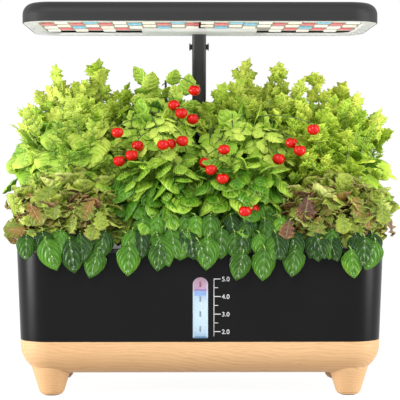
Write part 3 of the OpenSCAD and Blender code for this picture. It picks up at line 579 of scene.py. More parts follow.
def stalk_paths(sites, stem, drop, bow=0.45):
    """Leaf stalks: each leaves the stem below its leaf and arrives in line with the midrib."""
    away = np.hypot(sites.root[:, 0] - stem[0], sites.root[:, 1] - stem[1])
    foot = np.clip(sites.root[:, 2] - drop * away - BELOW_LEAF, STEM_TOP, None)
    start = xyz(*stem, foot)
    far = np.linalg.norm(sites.root - start, axis=-1, keepdims=True)
    bend = sites.root - heading_of(sites) * far * bow
    bend[:, 2] = np.maximum(bend[:, 2], STEM_TOP + BEND_CLEAR)
    return arcs(start, bend, sites.root + heading_of(sites) * INTO_LEAF)


def stalks(sites, stem, radius, drop, bow=0.45):
    """Tapered stalks from the stem to the leaves."""
    paths = stalk_paths(sites, stem, drop, bow)
    taper = np.linspace(1.0, 0.62, paths.shape[1])[None]
    return tubes(paths, np.full((len(paths), 1), radius) * taper, sites.tint)


def stem_tube(stem, top, radius):
    """A main stem from the sponge up to its last leaf."""
    foot = np.array([[stem[0], stem[1], STEM_TOP - 0.003]])
    tip = np.array([top])
    path = arcs(foot, (foot + tip) / 2 + [[0.004, -0.003, 0.0]], tip, STEM_STEPS)
    return tubes(path, np.linspace(radius, radius * 0.6, STEM_STEPS)[None], np.array([0.5]))


def even_sphere(count, start):
    """Directions spread evenly over a ball by the golden angle."""
    step = np.arange(count)
    height = 1 - 2 * (step + 0.5) / count
    turn = start + step * pi * (3 - math.sqrt(5))
    flat = np.sqrt(1 - height ** 2)
    return xyz(flat * cos(turn), flat * sin(turn), height)


def crown(rng, layer):
    """Leaves spread evenly over a rounded crown, each turned outwards and more to front or back than aside.

    A leaf's rise is the layer's lift, and follows its place's height on the crown by the layer's share. Most
    leaves of a crown that faces one way are turned to that side. Lower leaves droop more. Leaves that lie
    deeper or lower are darker, and higher ones paler: painted shade and painted light of the crown.
    """
    count = layer.count
    out = even_sphere(count, rng.uniform(0, 6))
    turned = rng.random(count) < 0.75 * abs(layer.face)
    out[:, 1] = np.where(turned, layer.face * abs(out[:, 1]), out[:, 1])
    depth = rng.uniform(0.7, 1.15, count)
    root = np.asarray(layer.centre) + np.asarray(layer.radii) * out * (layer.inner * depth)[:, None]
    heading = np.arctan2(out[:, 1] + 0.4 * layer.face, 0.55 * out[:, 0]) + rng.normal(0, 0.4, count)
    rise = np.arcsin(out[:, 2]) * layer.follow + layer.lift + rng.normal(0, 0.25, count)
    low, high = layer.droop
    droop = low + (high - low) * (0.5 - 0.5 * out[:, 2]) * rng.uniform(0.7, 1.3, count)
    size = rng.uniform(0.72, 1.12, count)
    # Painted light and shade in the tint: paler high on the crown, darker deep inside, on top of the layer's
    # shade and a random tone
    tint = 0.5 + 0.25 * out[:, 2] + 0.6 * (depth - 0.95) + layer.shade + rng.normal(0, 0.17, count)
    return Sites(root, heading, rise, rng.normal(0, 0.3, count), layer.length * size,
                 layer.width * size * rng.uniform(0.88, 1.1, count), droop, rng.normal(0, 0.3, count),
                 np.clip(tint, 0, 1))


def compound(rng, sites, parts):
    """Cut leaves: each site becomes leaflets at places along its midrib, turned to either side.

    A leaflet points along the midrib times the turn's cosine and to the side times its sine. Its roll
    is the angle about that line that lays it in the whole leaf's plane.
    """
    place, turn, size = (np.array(column)[None] for column in zip(*parts))
    root, along, aside, normal, angle = blade_frame(sites, place)
    turn = turn + rng.normal(0, 0.16, angle.shape)
    way = cos(turn)[..., None] * along + sin(turn)[..., None] * aside
    way = unit(way + normal * rng.normal(0, 0.15, angle.shape)[..., None])
    heading, rise = np.arctan2(way[..., 1], way[..., 0]), np.arcsin(way[..., 2])
    level = xyz(-sin(heading), cos(heading), 0.0)
    lie = np.cross(way, level)
    roll = np.arctan2(-(normal * level).sum(axis=-1), (normal * lie).sum(axis=-1))
    scale = LEAFLET_SIZE * size * rng.uniform(0.8, 1.15, angle.shape)
    tint = np.clip(sites.tint[:, None] + rng.normal(0, 0.1, scale.shape), 0, 1)
    return Sites(root.reshape(-1, 3), heading.ravel(), rise.ravel(), np.zeros(scale.size),
                 (sites.length[:, None] * scale).ravel(), (sites.width[:, None] * scale).ravel(),
                 rng.uniform(0.1, 0.5, scale.shape).ravel(),
                 (roll + rng.normal(0, 0.25, scale.shape)).ravel(), tint.ravel())


def draped(rng, row, front, slim):
    """Leaves that hang over the front rim, given by their tips and lean; loose ones turn more freely."""
    tip_x, tip_z, lean = np.array(row.tips).T
    count, loose = len(tip_x), row.loose
    size = rng.uniform(0.9 - 0.15 * loose, 1.1, count)
    lean = lean + rng.normal(0, 0.08 + 0.6 * loose, count)
    reach = row.length * size
    root = xyz(tip_x - reach * sin(lean), front - rng.uniform(0, 0.001, count),
               tip_z + reach * cos(lean) + loose * rng.normal(0, 0.006, count))
    heading = -pi / 2 + rng.normal(0, 0.06 + 0.4 * loose, count)
    rise = rng.uniform(-1.54, -1.48 + 0.3 * loose, count)
    droop = rng.uniform(0.03, 0.12, count)
    roll = rng.normal(0, 0.06, count)
    tint = np.clip(rng.normal(row.tone, 0.12 + 0.14 * loose, count), 0, 1)
    return Sites(root, heading, rise, lean, reach, row.length * slim * size, droop, roll, tint)


def leaders(rng, tips, length, width):
    """Leaves that stand up above the crown, given by their tips."""
    count = len(tips)
    size = rng.uniform(0.9, 1.1, count)
    root = tips - UP * (length * size)[:, None] * 1.45
    heading = rng.uniform(-2.2, -0.9, count)
    rise = rng.uniform(1.3, 1.5, count)
    lean = rng.normal(0, 0.2, count)
    droop = rng.uniform(0.1, 0.3, count)
    roll = rng.normal(0, 0.2, count)
    tint = rng.uniform(0.6, 0.95, count)
    return Sites(root, heading, rise, lean, length * size, width * size, droop, roll, tint)


# Finishes of the crop
def leaf_finish(name, tones, vein, veins, slant=0.22, edge=None, edge_from=0.6, gloss=0.4, relief=0.002,
                ribs=1.0, shine=0.26):
    """A living leaf: tone by its tint (with the crown's painted shade and light), pale midrib and side veins,
    swollen fields between them.

    Some kinds have a coloured margin. The tip and the margin of every leaf are a little paler.
    """
    p = Paint(name)
    chart = p.field("UVMap", uv_map="LeafMap")
    u, v = p.axes(chart)[:2]
    tint = p.field("Attribute", attribute_name="tint", output="Fac")
    blotch = p.noise(p.place(), 90.0, 3.0)
    far = abs(v * 2.0 - 1.0)
    midrib = 1.0 - far.over(0.02, 0.1)
    side = ((u - far * 0.12 - far * far * slant) * float(veins)).zigzag()
    side_vein = side.over(0.4, 0.5) * (1.0 - far * 0.7)
    tone = (tint * 0.9 + (blotch - 0.5) * 0.4 + (u * far - 0.3) * 0.28).clamp()
    colour = p.ramp(tone, tones)
    colour = p.mix((midrib * 0.3 + side_vein * 0.15 * ribs).clamp(), colour, vein)
    if edge:
        rim = (far * 0.75 + u * 0.45 + (blotch - 0.5) * 0.7).over(edge_from, edge_from + 0.35)
        colour = p.mix(rim * 0.85, colour, edge)
    swell = 1.0 - side.over(0.0, 0.5) ** 2.0
    height = swell * 0.7 - midrib * 0.5 - side_vein * 0.3 + blotch * 0.15
    return p.done(Base_Color=colour, Roughness=gloss - 0.08 + 0.2 * blotch, Specular_IOR_Level=shine,
                  Normal=p.bump(height, 0.6, relief))


def stalk_finish(name, low, high):
    """A soft green stalk, streaked along its length."""
    p = Paint(name)
    streak = p.noise(p.stretched(p.place(), (700.0, 700.0, 60.0)), 1.0, 2.0)
    relief = p.bump(streak, 0.2, GRAIN_DEPTH)
    return p.done(Base_Color=p.mix(streak, low, high), Roughness=0.45, Normal=relief)


def fruit_finish():
    """Ripe tomato skin: deep glossy red, a little paler in patches."""
    p = Paint("tomato_skin")
    patch = p.noise(p.place(), 70.0, 2.0)
    return p.done(Base_Color=p.mix(patch, (0.5, 0.003, 0.002), (0.68, 0.008, 0.004)),
                  Roughness=0.15 + 0.05 * patch, Specular_IOR_Level=0.32)


def three_tones(dark, middle, pale, at=0.5):
    """Stops of a leaf's ramp from its darkest tone to its palest."""
    return [(0.0, dark), (at, middle), (1.0, pale)]


STALK_GREEN = stalk_finish("stalk_green", (0.16, 0.28, 0.04), (0.33, 0.46, 0.1))
STALK_DARK = stalk_finish("stalk_dark", (0.05, 0.09, 0.02), (0.12, 0.18, 0.04))
FRUIT_FINISH = fruit_finish()
BASIL_FINISH = leaf_finish(
    "basil_blade", three_tones((0.01, 0.046, 0.003), (0.085, 0.25, 0.012), (0.48, 0.74, 0.07), 0.45),
    (0.2, 0.38, 0.06), 4, slant=0.55, gloss=0.26, relief=0.0034, ribs=0.25, shine=0.3)
LETTUCE_FINISH = leaf_finish(
    "lettuce_blade",
    [(0.0, (0.1, 0.045, 0.03)), (0.14, (0.2, 0.09, 0.045)), (0.22, (0.3, 0.165, 0.035)),
     (0.32, (0.16, 0.22, 0.025)), (0.6, (0.37, 0.48, 0.05)), (1.0, (0.66, 0.7, 0.22))],
    (0.56, 0.6, 0.26), 4, edge=(0.34, 0.2, 0.12), edge_from=0.92, gloss=0.38)
TOMATO_FINISH = leaf_finish(
    "tomato_blade", three_tones((0.06, 0.19, 0.018), (0.37, 0.65, 0.055), (0.76, 0.94, 0.15)),
    (0.46, 0.62, 0.14), 5)
LEAFY_FINISHES = {
    "chard": leaf_finish(
        "chard_blade", three_tones((0.06, 0.19, 0.015), (0.29, 0.52, 0.04), (0.68, 0.82, 0.12)),
        (0.6, 0.74, 0.28), 6, gloss=0.34),
    "celery": leaf_finish(
        "celery_blade", three_tones((0.1, 0.24, 0.014), (0.43, 0.64, 0.05), (0.78, 0.88, 0.14)),
        (0.6, 0.74, 0.2), 3),
    "parsley": leaf_finish(
        "parsley_blade", three_tones((0.1, 0.23, 0.014), (0.42, 0.63, 0.04), (0.78, 0.87, 0.11)),
        (0.58, 0.72, 0.18), 3),
}


# Plants: baskets in columns and rows, fronts and slimness of hanging leaves, fruit
COLUMNS = (-0.126, -0.042, 0.042, 0.126)
ROWS = (-0.057, -0.003, 0.051)
FIRST_SEED = 11
BASIL_FRONT = -0.106
LETTUCE_FRONT = -0.107
SKIRT_FRONT = -0.105
ROW_STEP = 0.003
BASIL_SLIM = 0.38
LETTUCE_SLIM = 0.46
HUNG_DROP = 0.2
HUNG_BOW = 0.2
FRUIT_RADIUS = 0.0066
FRUIT_RINGS = 12
FRUIT_SIDES = 18
SEPALS = 5
VINE_RADIUS = 0.0006

# Ruffled leaves over the rim: count, height of their tips, length, tone, looseness
RUFFLES = ((13, 0.164, 0.024, 0.46, 0.3), (14, 0.174, 0.024, 0.36, 0.7), (12, 0.184, 0.024, 0.3, 0.8))


def skinned(piece):
    """Gives thin blades their thickness."""
    skin = piece.modifiers.new("thickness", "SOLIDIFY")
    skin.thickness = LEAF_THICKNESS
    skin.offset = 0.0
    return piece


def grow(rng, stem, layers, radius, drop, tips=None):
    """Blades and stalks of one plant's crowns; a leaf whose stalk would hit the pot is left out."""
    blades, pipes = [], []
    crowns = [(layer.form, layer.parts, crown(rng, layer)) for layer in layers]
    if tips is not None:
        first = layers[0]
        crowns.append((first.form, first.parts, leaders(rng, tips, first.length * 1.15, first.width * 1.1)))
    for form, parts, sites in crowns:
        sites = chosen(sites, clear_of_pot(stalk_paths(sites, stem, drop)))
        if parts:
            leaflets = compound(rng, sites, parts)
            midrib = blade_frame(sites, np.linspace(0, 0.9, RIB_STEPS)[None])[0]
            whole = clear_of_pot(leaf_points(leaflets, form)).reshape(-1, len(parts)).all(axis=1)
            kept = whole & clear_of_pot(midrib)
            sites = chosen(sites, kept)
            blades.append(leaves(chosen(leaflets, np.repeat(kept, len(parts))), form)[0])
            pipes.append(tubes(midrib[kept], np.full((kept.sum(), RIB_STEPS), radius * 0.6), sites.tint))
        else:
            shape, sites = leaves(sites, form)
            blades.append(shape)
        pipes.append(stalks(sites, stem, radius, drop))
    return blades, pipes


def even_row(start, end, count, height, length, tone, loose):
    """Hanging leaves with their tips in an even row, and no lean."""
    return Row([(x, height, 0.0) for x in np.linspace(start, end, count)], length, tone, loose)


def hang_rows(rng, stem, form, front, slim, rows):
    """Rows of leaves that hang over the rim, one behind the other, and their stalks."""
    shapes, pipes = [], []
    for number, row in enumerate(rows):
        shape, kept = leaves(draped(rng, row, front + ROW_STEP * number, slim), form)
        shapes.append(shape)
        pipes.append(stalks(kept, stem, STALK_RADIUS, HUNG_DROP, HUNG_BOW))
    return shapes, pipes


def fruit_balls(centres, radius):
    """Tomatoes: r(s) = sin s, height cos s with a dimple round the stalk, turned about a standing axis."""
    s = np.linspace(0.1, pi - 0.06, FRUIT_RINGS)[:, None]
    turn = np.linspace(0, 2 * pi, FRUIT_SIDES, endpoint=False)[None]
    tall = 0.92 * cos(s) - 0.16 * np.exp(-(s / 0.42) ** 2)
    ball = xyz(sin(s) * cos(turn), sin(s) * sin(turn), tall)
    points = centres[:, None, None] + radius[:, None, None, None] * ball
    quads, caps = closed_rings(len(centres), FRUIT_RINGS, FRUIT_SIDES)
    return plain_shape(points.reshape(-1, 3), quads, caps, tint=0.5)


def sepals(rng, centres, radius):
    """Thin sepals in a ring on each fruit's dimple."""
    count = len(centres)
    root = np.repeat(centres + UP * (radius * 0.8)[:, None], SEPALS, axis=0)
    heading = (rng.uniform(0, 6, (count, 1)) + np.arange(SEPALS) * 2 * pi / SEPALS).ravel()
    size = np.repeat(radius, SEPALS)
    flat = np.zeros(count * SEPALS)
    return Sites(root, heading, flat + 0.35, flat, size * 0.95, size * 0.17, flat + 0.9, flat,
                 rng.uniform(0.2, 0.7, count * SEPALS))


def fruit_vines(stem, top, fruit_at, radius):
    """Thin stalks that leave the stem just above each fruit, rise a little and come down to its dimple."""
    crest = fruit_at + UP * (radius * 0.85)[:, None]
    start = xyz(*stem, np.clip(crest[:, 2] + 0.004, None, top[2]))
    bend = (start + crest) / 2 + np.array([0, -0.004, 0.016])
    radii = np.full((len(crest), STEM_STEPS), VINE_RADIUS)
    return tubes(arcs(start, bend, crest, STEM_STEPS), radii, np.full(len(crest), 0.4))


def crop_piece(node, part, shapes, finish):
    """One piece of a plant, named after its kind, the part and its place on the deck."""
    kind, side = node.split("_", 1)
    return make_piece(kind + "_" + part + "_" + side, join_shapes(shapes), finish, "deck")


def basil_plant(rng, node, stem, rows):
    """A bush of basil with pale young tips, and leaves that hang over the rim."""
    x, y = stem
    layers = [
        Layer(BASIL, 120, (x, y - 0.004, 0.206), mm(52, 31, 48), 0.036, 0.015, -0.85, 0.2, 0.8, 0.0,
              (0.1, 0.5)),
        # The second crown is an inner core, darker as painted shade
        Layer(BASIL, 44, (x, y, 0.205), mm(42, 30, 45), 0.034, 0.0135, -0.5, 0.3, 0.45, -0.5),
        Layer(BASIL, 44, (x, y - 0.016, 0.232), mm(44, 26, 22), 0.024, 0.0098, -0.5, 0.5, 0.9, 0.2,
              (0.2, 0.8))]
    blades, pipes = grow(rng, stem, layers, STALK_RADIUS, STALK_DROP)
    hung, hung_pipes = hang_rows(rng, stem, HUNG, BASIL_FRONT, BASIL_SLIM, rows)
    piece = crop_piece(node, "blades", blades + hung, BASIL_FINISH)
    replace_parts(skinned(piece), node)
    pipes += hung_pipes + [stem_tube(stem, (x, y, 0.25), 0.0028)]
    crop_piece(node, "stalks", pipes, STALK_GREEN)


def lettuce_plant(rng, node, stem, lean, spans, skirt):
    """A loose head of ruffled leaves, some over the rim, and smooth green leaves below them."""
    x, y = stem[0] + lean, stem[1]
    layers = [
        Layer(LETTUCE, 90, (x, y - 0.004, 0.19), mm(62, 36, 34), 0.025, 0.0115, 1.0, 0.2, 0.85, -0.18,
              (0.2, 0.8)),
        Layer(LETTUCE, 130, (x, y - 0.006, 0.196), mm(62, 34, 34), 0.024, 0.012, -0.9, 0.2, 0.85, -0.1,
              (0.1, 0.6)),
        Layer(BOWL, 24, (x, y - 0.004, 0.196), mm(60, 36, 26), 0.026, 0.0125, 0.9, 0.2, 0.8, 0.05,
              (0.2, 0.8))]
    blades, pipes = grow(rng, stem, layers, STALK_RADIUS, STALK_DROP)
    ruffles = [even_row(*span, *row) for span, row in zip(spans, RUFFLES)]
    hung, hung_pipes = hang_rows(rng, stem, LETTUCE, LETTUCE_FRONT, LETTUCE_SLIM, ruffles)
    piece = crop_piece(node, "blades", blades + hung, LETTUCE_FINISH)
    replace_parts(skinned(piece), node)
    below, below_pipes = hang_rows(rng, stem, HUNG, SKIRT_FRONT, BASIL_SLIM, skirt)
    skinned(crop_piece(node, "skirt", below, BASIL_FINISH))
    crop_piece(node, "stalks", pipes + hung_pipes + below_pipes, STALK_GREEN)


def leafy_plant(rng, node, stem, layers, drop, tips=None):
    """A plant of crowns, with leaves that stand up above them."""
    kind = node.split("_")[0]
    blades, pipes = grow(rng, stem, layers, LEAFY_STALK, drop, tips)
    piece = crop_piece(node, "blades", blades, LEAFY_FINISHES[kind])
    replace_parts(skinned(piece), node)
    crop_piece(node, "stalks", pipes, STALK_GREEN)


def tomato_plant(rng, node, stem, layers, fruit_at, top, tips=None):
    """Tomato: cut leaves on dark stems, with ripe fruit on thin stalks."""
    blades, pipes = grow(rng, stem, layers, STALK_RADIUS, STALK_DROP, tips)
    radius = FRUIT_RADIUS * rng.uniform(0.95, 1.04, len(fruit_at))
    blades.append(leaves(sepals(rng, fruit_at, radius), TOOTHED)[0])
    piece = crop_piece(node, "blades", blades, TOMATO_FINISH)
    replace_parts(skinned(piece), node)
    pipes += [fruit_vines(stem, top, fruit_at, radius), stem_tube(stem, top, 0.0024)]
    crop_piece(node, "vines", pipes, STALK_DARK)
    crop_piece(node, "fruit", [fruit_balls(fruit_at, radius)], FRUIT_FINISH)


def sprig_layers(centre, radii, face):
    """Outer sprigs of toothed lobes round a core of whole leaves, darker as painted shade."""
    return [
        Layer(TOOTHED, 110, centre, radii, 0.032, 0.0145, 1.3, 0.1, 0.85, 0.08,
              (0.1, 0.6), face, SPRIG_PARTS),
        Layer(CHARD, 30, centre, radii, 0.032, 0.014, -0.85, 0.2, 0.75, -0.1, face=face),
        Layer(CHARD, 44, centre, radii, 0.036, 0.016, 1.0, 0.2, 0.35, -0.3, face=0)]


def tomato_layers(centre, radii, face):
    """Outer cut leaves round a core of whole leaves, darker as painted shade."""
    return [
        Layer(TOMATO, 84, centre, radii, 0.034, 0.0155, -0.8, 0.2, 0.8, 0.1, (0.2, 0.7), face, TOMATO_PARTS),
        Layer(TOMATO, 44, centre, radii, 0.034, 0.014, 0.9, 0.3, 0.4, -0.2, face=0)]


def side_tuft(centre, radii, shade):
    """Whole leaves at the outer end of a plant."""
    return Layer(CHARD, 18, centre, radii, 0.03, 0.0135, -0.85, 0.2, 0.9, shade)


# Every plant in the order of the baskets, from the front left
PLANTS = (
    (lettuce_plant, "lettuce_front_left", dict(
        lean=-0.012, spans=mm((-190, -86), (-188, -86), (-186, -86)),
        skirt=[Row([(-0.173, 0.136, -0.3), (-0.141, 0.133, -0.15), (-0.0965, 0.128, 0.3),
                    (-0.072, 0.13, 0.1)], 0.033, 0.28, 0.0),
               even_row(-0.18, -0.078, 11, 0.146, 0.03, 0.1, 0.2)])),
    (basil_plant, "basil_front_left", dict(
        rows=[Row([(-0.039, 0.135, 0.2), (-0.056, 0.14, -0.3), (-0.012, 0.14, -0.4)], 0.032, 0.28, 0.0),
              even_row(-0.074, -0.004, 7, 0.147, 0.03, 0.1, 0.2),
              even_row(-0.07, -0.006, 5, 0.162, 0.03, 0.34, 0.3)])),
    (basil_plant, "basil_front_right", dict(
        rows=[Row([(0.009, 0.136, 0.0), (0.0515, 0.1255, 0.2), (0.0695, 0.125, 0.12)], 0.033, 0.28, 0.0),
              even_row(0.022, 0.084, 6, 0.147, 0.03, 0.1, 0.2),
              even_row(0.01, 0.084, 6, 0.162, 0.03, 0.34, 0.3)])),
    (lettuce_plant, "lettuce_front_right", dict(
        lean=0.014, spans=mm((88, 192), (88, 190), (88, 188)),
        skirt=[Row([(0.1015, 0.129, 0.1), (0.153, 0.1275, -0.2), (0.171, 0.139, 0.0), (0.192, 0.136, 0.2)],
                   0.031, 0.3, 0.0),
               even_row(0.086, 0.18, 11, 0.146, 0.03, 0.1, 0.2)])),
    (leafy_plant, "chard_middle_left", dict(
        layers=[Layer(TOOTHED, 50, mm(-138, -26, 240), mm(54, 50, 46), 0.026, 0.0095, 1.2, 0.1, 0.95, 0.2,
                      (0.1, 0.6), parts=CURLY_PARTS),
                Layer(CHARD, 90, mm(-138, -18, 246), mm(60, 50, 48), 0.034, 0.0155, -0.85, 0.2, 0.85, 0.0),
                # An inner core, darker as painted shade
                Layer(CHARD, 40, mm(-140, -10, 246), mm(60, 40, 48), 0.036, 0.016, 0.8, 0.3, 0.5, -0.2,
                      face=0),
                side_tuft(mm(-176, -32, 220), mm(24, 30, 28), -0.05)],
        drop=0.55)),
    (tomato_plant, "tomato_middle_left", dict(
        layers=tomato_layers(mm(-50, -14, 262), mm(54, 44, 52), -1), top=mm(-45, -6, 305),
        fruit_at=mm((-87, -74, 279), (-66, -70, 265), (-72, -80, 255), (-85, -78, 249), (-39, -83, 266),
                    (-31.5, -71, 267), (-19, -76, 270)))),
    (tomato_plant, "tomato_middle_right", dict(
        layers=tomato_layers(mm(50, -14, 258), mm(54, 44, 52), -1), top=mm(45, -6, 300),
        fruit_at=mm((25, -80, 261), (5, -82, 247), (11, -95, 240), (23, -99, 231), (82, -80, 251),
                    (96, -74, 268), (104, -84, 260), (118, -86, 282), (46, -102, 197), (54.5, -90.5, 199)))),
    (leafy_plant, "parsley_middle_right", dict(
        layers=[*sprig_layers(mm(142, -18, 238), mm(62, 48, 46), -1),
                side_tuft(mm(180, -34, 234), mm(24, 28, 30), 0.0)], drop=0.9,
        tips=mm((184, -10, 302), (166, -12, 306), (193, -30, 270), (190, -36, 250), (194, -20, 290)))),
    (leafy_plant, "celery_rear_left", dict(
        layers=sprig_layers(mm(-132, 36, 260), mm(56, 50, 38), 0), drop=1.3,
        tips=mm((-123, 30, 363), (-109, 34, 357), (-160, 30, 355), (-136, 28, 344), (-90, 30, 336),
                (-188, 16, 316), (-174, 14, 308)))),
    (tomato_plant, "tomato_rear_left", dict(
        layers=tomato_layers(mm(-44, 34, 284), mm(56, 48, 44), 0), top=mm(-38, 45, 340),
        fruit_at=mm((-6, -36, 325), (-28, -36, 309), (-20, -44, 300), (-8, -40, 294)),
        tips=mm((-62, 30, 346), (-46, 34, 354), (-31, 34, 351), (-14, 14, 332), (2, 12, 326),
                (-22, 20, 340)))),
    (leafy_plant, "celery_rear_right", dict(
        layers=sprig_layers(mm(62, 36, 262), mm(60, 50, 40), 0), drop=1.3,
        tips=mm((43, 30, 361), (78, 34, 366), (92, 30, 361), (106, 32, 345), (64, 28, 342), (22, 14, 334),
                (32, 20, 342), (12, 10, 318)))),
    (leafy_plant, "parsley_rear_right", dict(
        layers=sprig_layers(mm(142, 36, 252), mm(60, 50, 38), 0), drop=1.3,
        tips=mm((136, 30, 353), (166, 30, 336), (181, 32, 327), (196, 30, 310)))),
)


def grow_crop():
    """All twelve plants, each from its own seed and its own basket."""
    for number, (plant, node, details) in enumerate(PLANTS):
        row, column = divmod(number, len(COLUMNS))
        plant(np.random.default_rng(FIRST_SEED + number), node, (COLUMNS[column], ROWS[row]), **details)


# Lip of the lamp's housing round its bezel
LAMP_CORNER = 0.032
LIP_GAP = 0.0001
CORNER_STEPS = 25
LIP_CREASE = math.radians(40)


def lip_ring():
    """The housing's thin skirt: a square section carried round a rectangle with round corners.

    A point is its corner's centre plus the cosine and sine of its turn times the outer or the inner radius.
    """
    low, high = (np.array(corner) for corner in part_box("lamp_housing"))
    bezel_low, bezel_high = (np.array(corner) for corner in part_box("lamp_bezel"))
    quarter = np.arange(4)[:, None] * pi / 2
    turn = quarter + np.linspace(0, pi / 2, CORNER_STEPS)
    corner = quarter + pi / 4
    side = np.sign(np.stack([cos(corner), sin(corner)], axis=-1))
    centre = (low + high)[:2] / 2 + side * ((high - low)[:2] / 2 - LAMP_CORNER)
    way = np.stack([cos(turn), sin(turn)], axis=-1)
    inner = LAMP_CORNER - (high[0] - bezel_high[0]) + LIP_GAP
    foot, top = bezel_low[2], low[2]
    section = ((LAMP_CORNER, foot), (LAMP_CORNER, top), (inner, top), (inner, foot))
    rings = [np.concatenate([centre + radius * way, np.full((*turn.shape, 1), z)], axis=-1)
             for radius, z in section]
    points = np.stack(rings).reshape(-1, 3)
    here = np.arange(len(points)).reshape(len(section), -1)
    above = np.roll(here, -1, axis=0)
    after, after_above = (np.roll(numbers, -1, axis=1) for numbers in (here, above))
    return plain_shape(points, np.stack([after, after_above, above, here], axis=-1).reshape(-1, 4))


def add_lip():
    """Black edge that hides the bezel's rim, in the housing's own plastic."""
    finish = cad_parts["lamp_housing"].data.materials[0]
    piece = make_piece("lamp_lip", lip_ring(), finish, "lamp")
    piece.data.set_sharp_from_angle(angle=LIP_CREASE)


# Volume scale on the front wall, measured up the wall from its foot
WALL_LEAN = math.radians(2.1)
WALL_FOOT = (-0.0915895, 0.06)
SCALE_X = 0.0138
SCALE_FOOT = 0.006
MARKS = {"5.0": 0.0662, "4.0": 0.0478, "3.0": 0.0293, "2.0": 0.0109}
HALF_MARKS = (0.057, 0.0385, 0.0201)
LINE_WIDTH = 0.0006
LONG_TICK = (0.0072, 0.0004)
SHORT_TICK = (0.0046, 0.0003)
PRINT_BACK = -0.00005
PRINT_FACE = 0.00012
NUMBER_SIZE = 0.0068
NUMBER_RELIEF = 0.0001
NUMBER_ASIDE = 0.0084
NUMBER_BELOW = 0.0024
NUMBER_OUT = 0.00005


def on_wall(points):
    """Moves flat drawings (x, up the wall, out of the wall) onto the leaning front wall."""
    x, up, out = points.T
    y = WALL_FOOT[0] - up * math.sin(WALL_LEAN) - out * math.cos(WALL_LEAN)
    z = WALL_FOOT[1] + up * math.cos(WALL_LEAN) - out * math.sin(WALL_LEAN)
    return xyz(x, y, z)


def printed_bars(bars):
    """Thin printed bars: (x0, x1, low, high) each, as flat boxes that stand a tenth of a millimetre out."""
    lows = np.array([(a, c, PRINT_BACK) for a, b, c, d in bars])
    highs = np.array([(b, d, PRINT_FACE) for a, b, c, d in bars])
    pick = np.array([[i, j, k] for k in (0, 1) for j in (0, 1) for i in (0, 1)])
    points = np.where(pick[None] == 1, highs[:, None], lows[:, None]).reshape(-1, 3)
    sides = np.array([[0, 2, 3, 1], [4, 5, 7, 6], [0, 1, 5, 4], [2, 6, 7, 3], [0, 4, 6, 2], [1, 3, 7, 5]])
    quads = (np.arange(len(bars))[:, None, None] * 8 + sides[None]).reshape(-1, 4)
    return plain_shape(on_wall(points), quads)


def tick(up, length, half):
    """A bar across the scale, by its length and half its height."""
    return SCALE_X, SCALE_X + length, up - half, up + half


def add_number(number, up, finish):
    """A plain number beside its mark."""
    curve = bpy.data.curves.new("number", "FONT")
    curve.body = number
    curve.size = NUMBER_SIZE
    curve.extrude = NUMBER_RELIEF
    words = bpy.data.objects.new("number", curve)
    link(words)
    bpy.context.view_layer.update()
    mesh = bpy.data.meshes.new_from_object(words.evaluated_get(bpy.context.evaluated_depsgraph_get()))
    bpy.data.objects.remove(words)
    flat = np.zeros(len(mesh.vertices) * 3, np.float32)
    mesh.vertices.foreach_get("co", flat)
    flat = flat.reshape(-1, 3) + np.array([SCALE_X + NUMBER_ASIDE, up - NUMBER_BELOW, NUMBER_OUT])
    mesh.vertices.foreach_set("co", on_wall(flat).astype(np.float32).ravel())
    mesh.materials.clear()
    mesh.materials.append(finish)
    piece = bpy.data.objects.new("scale_number_" + number[0], mesh)
    link(piece)
    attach(piece, "pot")


def add_scale(finish):
    """A line with long ticks at whole marks and short ticks between, and plain numbers beside it."""
    bars = [(SCALE_X, SCALE_X + LINE_WIDTH, SCALE_FOOT, MARKS["5.0"])]
    bars += [tick(up, *LONG_TICK) for up in MARKS.values()]
    bars += [tick(up, *SHORT_TICK) for up in HALF_MARKS]
    make_piece("scale_bars", printed_bars(bars), finish, "pot")
    for number, up in MARKS.items():
        add_number(number, up, finish)


def print_finish():
    """White screen print, a little worn."""
    p = Paint("scale_print")
    worn = p.noise(p.place(), 900.0, 2.0)
    return p.done(Base_Color=p.mix(worn, (0.62, 0.62, 0.62), (0.8, 0.8, 0.8)), Roughness=0.5)


# Studio
FLOOR_HALF = 12.0
FLOOR_GREY = (0.62, 0.62, 0.62)
FLOOR_GLOW = 1.2
FLOOR_SEEN = 0.8
WHITE = (1.0, 1.0, 1.0)
ROOM_LIGHT = 0.55
CROP_MIDDLE = (0.0, 0.0, 0.22)
TANK_MIDDLE = (0.0, 0.0, 0.12)
STRIP_SIZE = (0.5, 0.28)

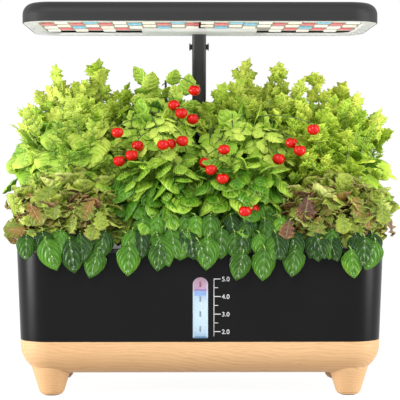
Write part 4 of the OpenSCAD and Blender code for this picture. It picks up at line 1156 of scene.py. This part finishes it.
# Soft lights: place, target, size and power
SOFTBOXES = {
    "key_front": ((-0.5, -1.5, 1.5), CROP_MIDDLE, (0.7, 0.5), 9.8),
    "catch_left": ((-0.45, -1.25, 0.9), CROP_MIDDLE, (0.26, 0.26), 3.6),
    "fill_right": ((1.3, -1.0, 0.9), CROP_MIDDLE, (0.8, 0.8), 10.2),
    "strip_left": ((-1.2, -0.4, 0.16), TANK_MIDDLE, STRIP_SIZE, 15.0),
    "strip_right": ((1.2, -0.4, 0.16), TANK_MIDDLE, STRIP_SIZE, 9.0),
}


def seen(p):
    """1 where a surface is looked at, also in a mirror or through the window, and 0 where it gives light."""
    ray = p.node("LightPath")
    kinds = ("Is Camera Ray", "Is Glossy Ray", "Is Transmission Ray")
    return sum(Field(p, ray.outputs[kind]) for kind in kinds).clamp()


def add_floor():
    """A pale floor: the camera sees it mostly white, and the pot's shadow stays on it."""
    p = Paint("floor_white")
    paint = p.field("BsdfDiffuse", {"Color": FLOOR_GREY})
    glow = p.field("Emission", {"Color": WHITE, "Strength": FLOOR_GLOW})
    blend = p.field("MixShader", {0: seen(p) * FLOOR_SEEN, 1: paint, 2: glow})
    corners = [(x * FLOOR_HALF, y * FLOOR_HALF, 0) for x, y in ((-1, -1), (1, -1), (1, 1), (-1, 1))]
    mesh = bpy.data.meshes.new("studio_floor")
    mesh.from_pydata(corners, [], [(0, 1, 2, 3)])
    mesh.materials.append(p.end(blend))
    floor = bpy.data.objects.new("studio_floor", mesh)
    link(floor)


def add_world():
    """White surroundings to look at and to be mirrored, with a softer light from all round."""
    p = Paint("studio", "worlds")
    level = ROOM_LIGHT + (1.0 - ROOM_LIGHT) * seen(p)
    sky = p.field("Background", {"Color": WHITE, "Strength": level})
    bpy.context.scene.world = p.end(sky, "World")


def add_softbox(name, place, target, size, power):
    """A rectangular soft light that faces its target."""
    data = bpy.data.lights.new(name, "AREA")
    data.shape = "RECTANGLE"
    data.size, data.size_y = size
    data.energy = power
    lamp = bpy.data.objects.new(name, data)
    lamp.location = place
    way = np.asarray(target) - np.asarray(place)
    tilt = math.atan2(math.hypot(way[0], way[1]), -way[2])
    lamp.rotation_euler = (tilt, 0, math.atan2(way[1], way[0]) - pi / 2)
    link(lamp)


dress_solids()
grow_crop()
add_lip()
add_scale(print_finish())
add_floor()
add_world()
for name, settings in SOFTBOXES.items():
    add_softbox(name, *settings)
bpy.context.scene.view_settings.view_transform = "Standard"
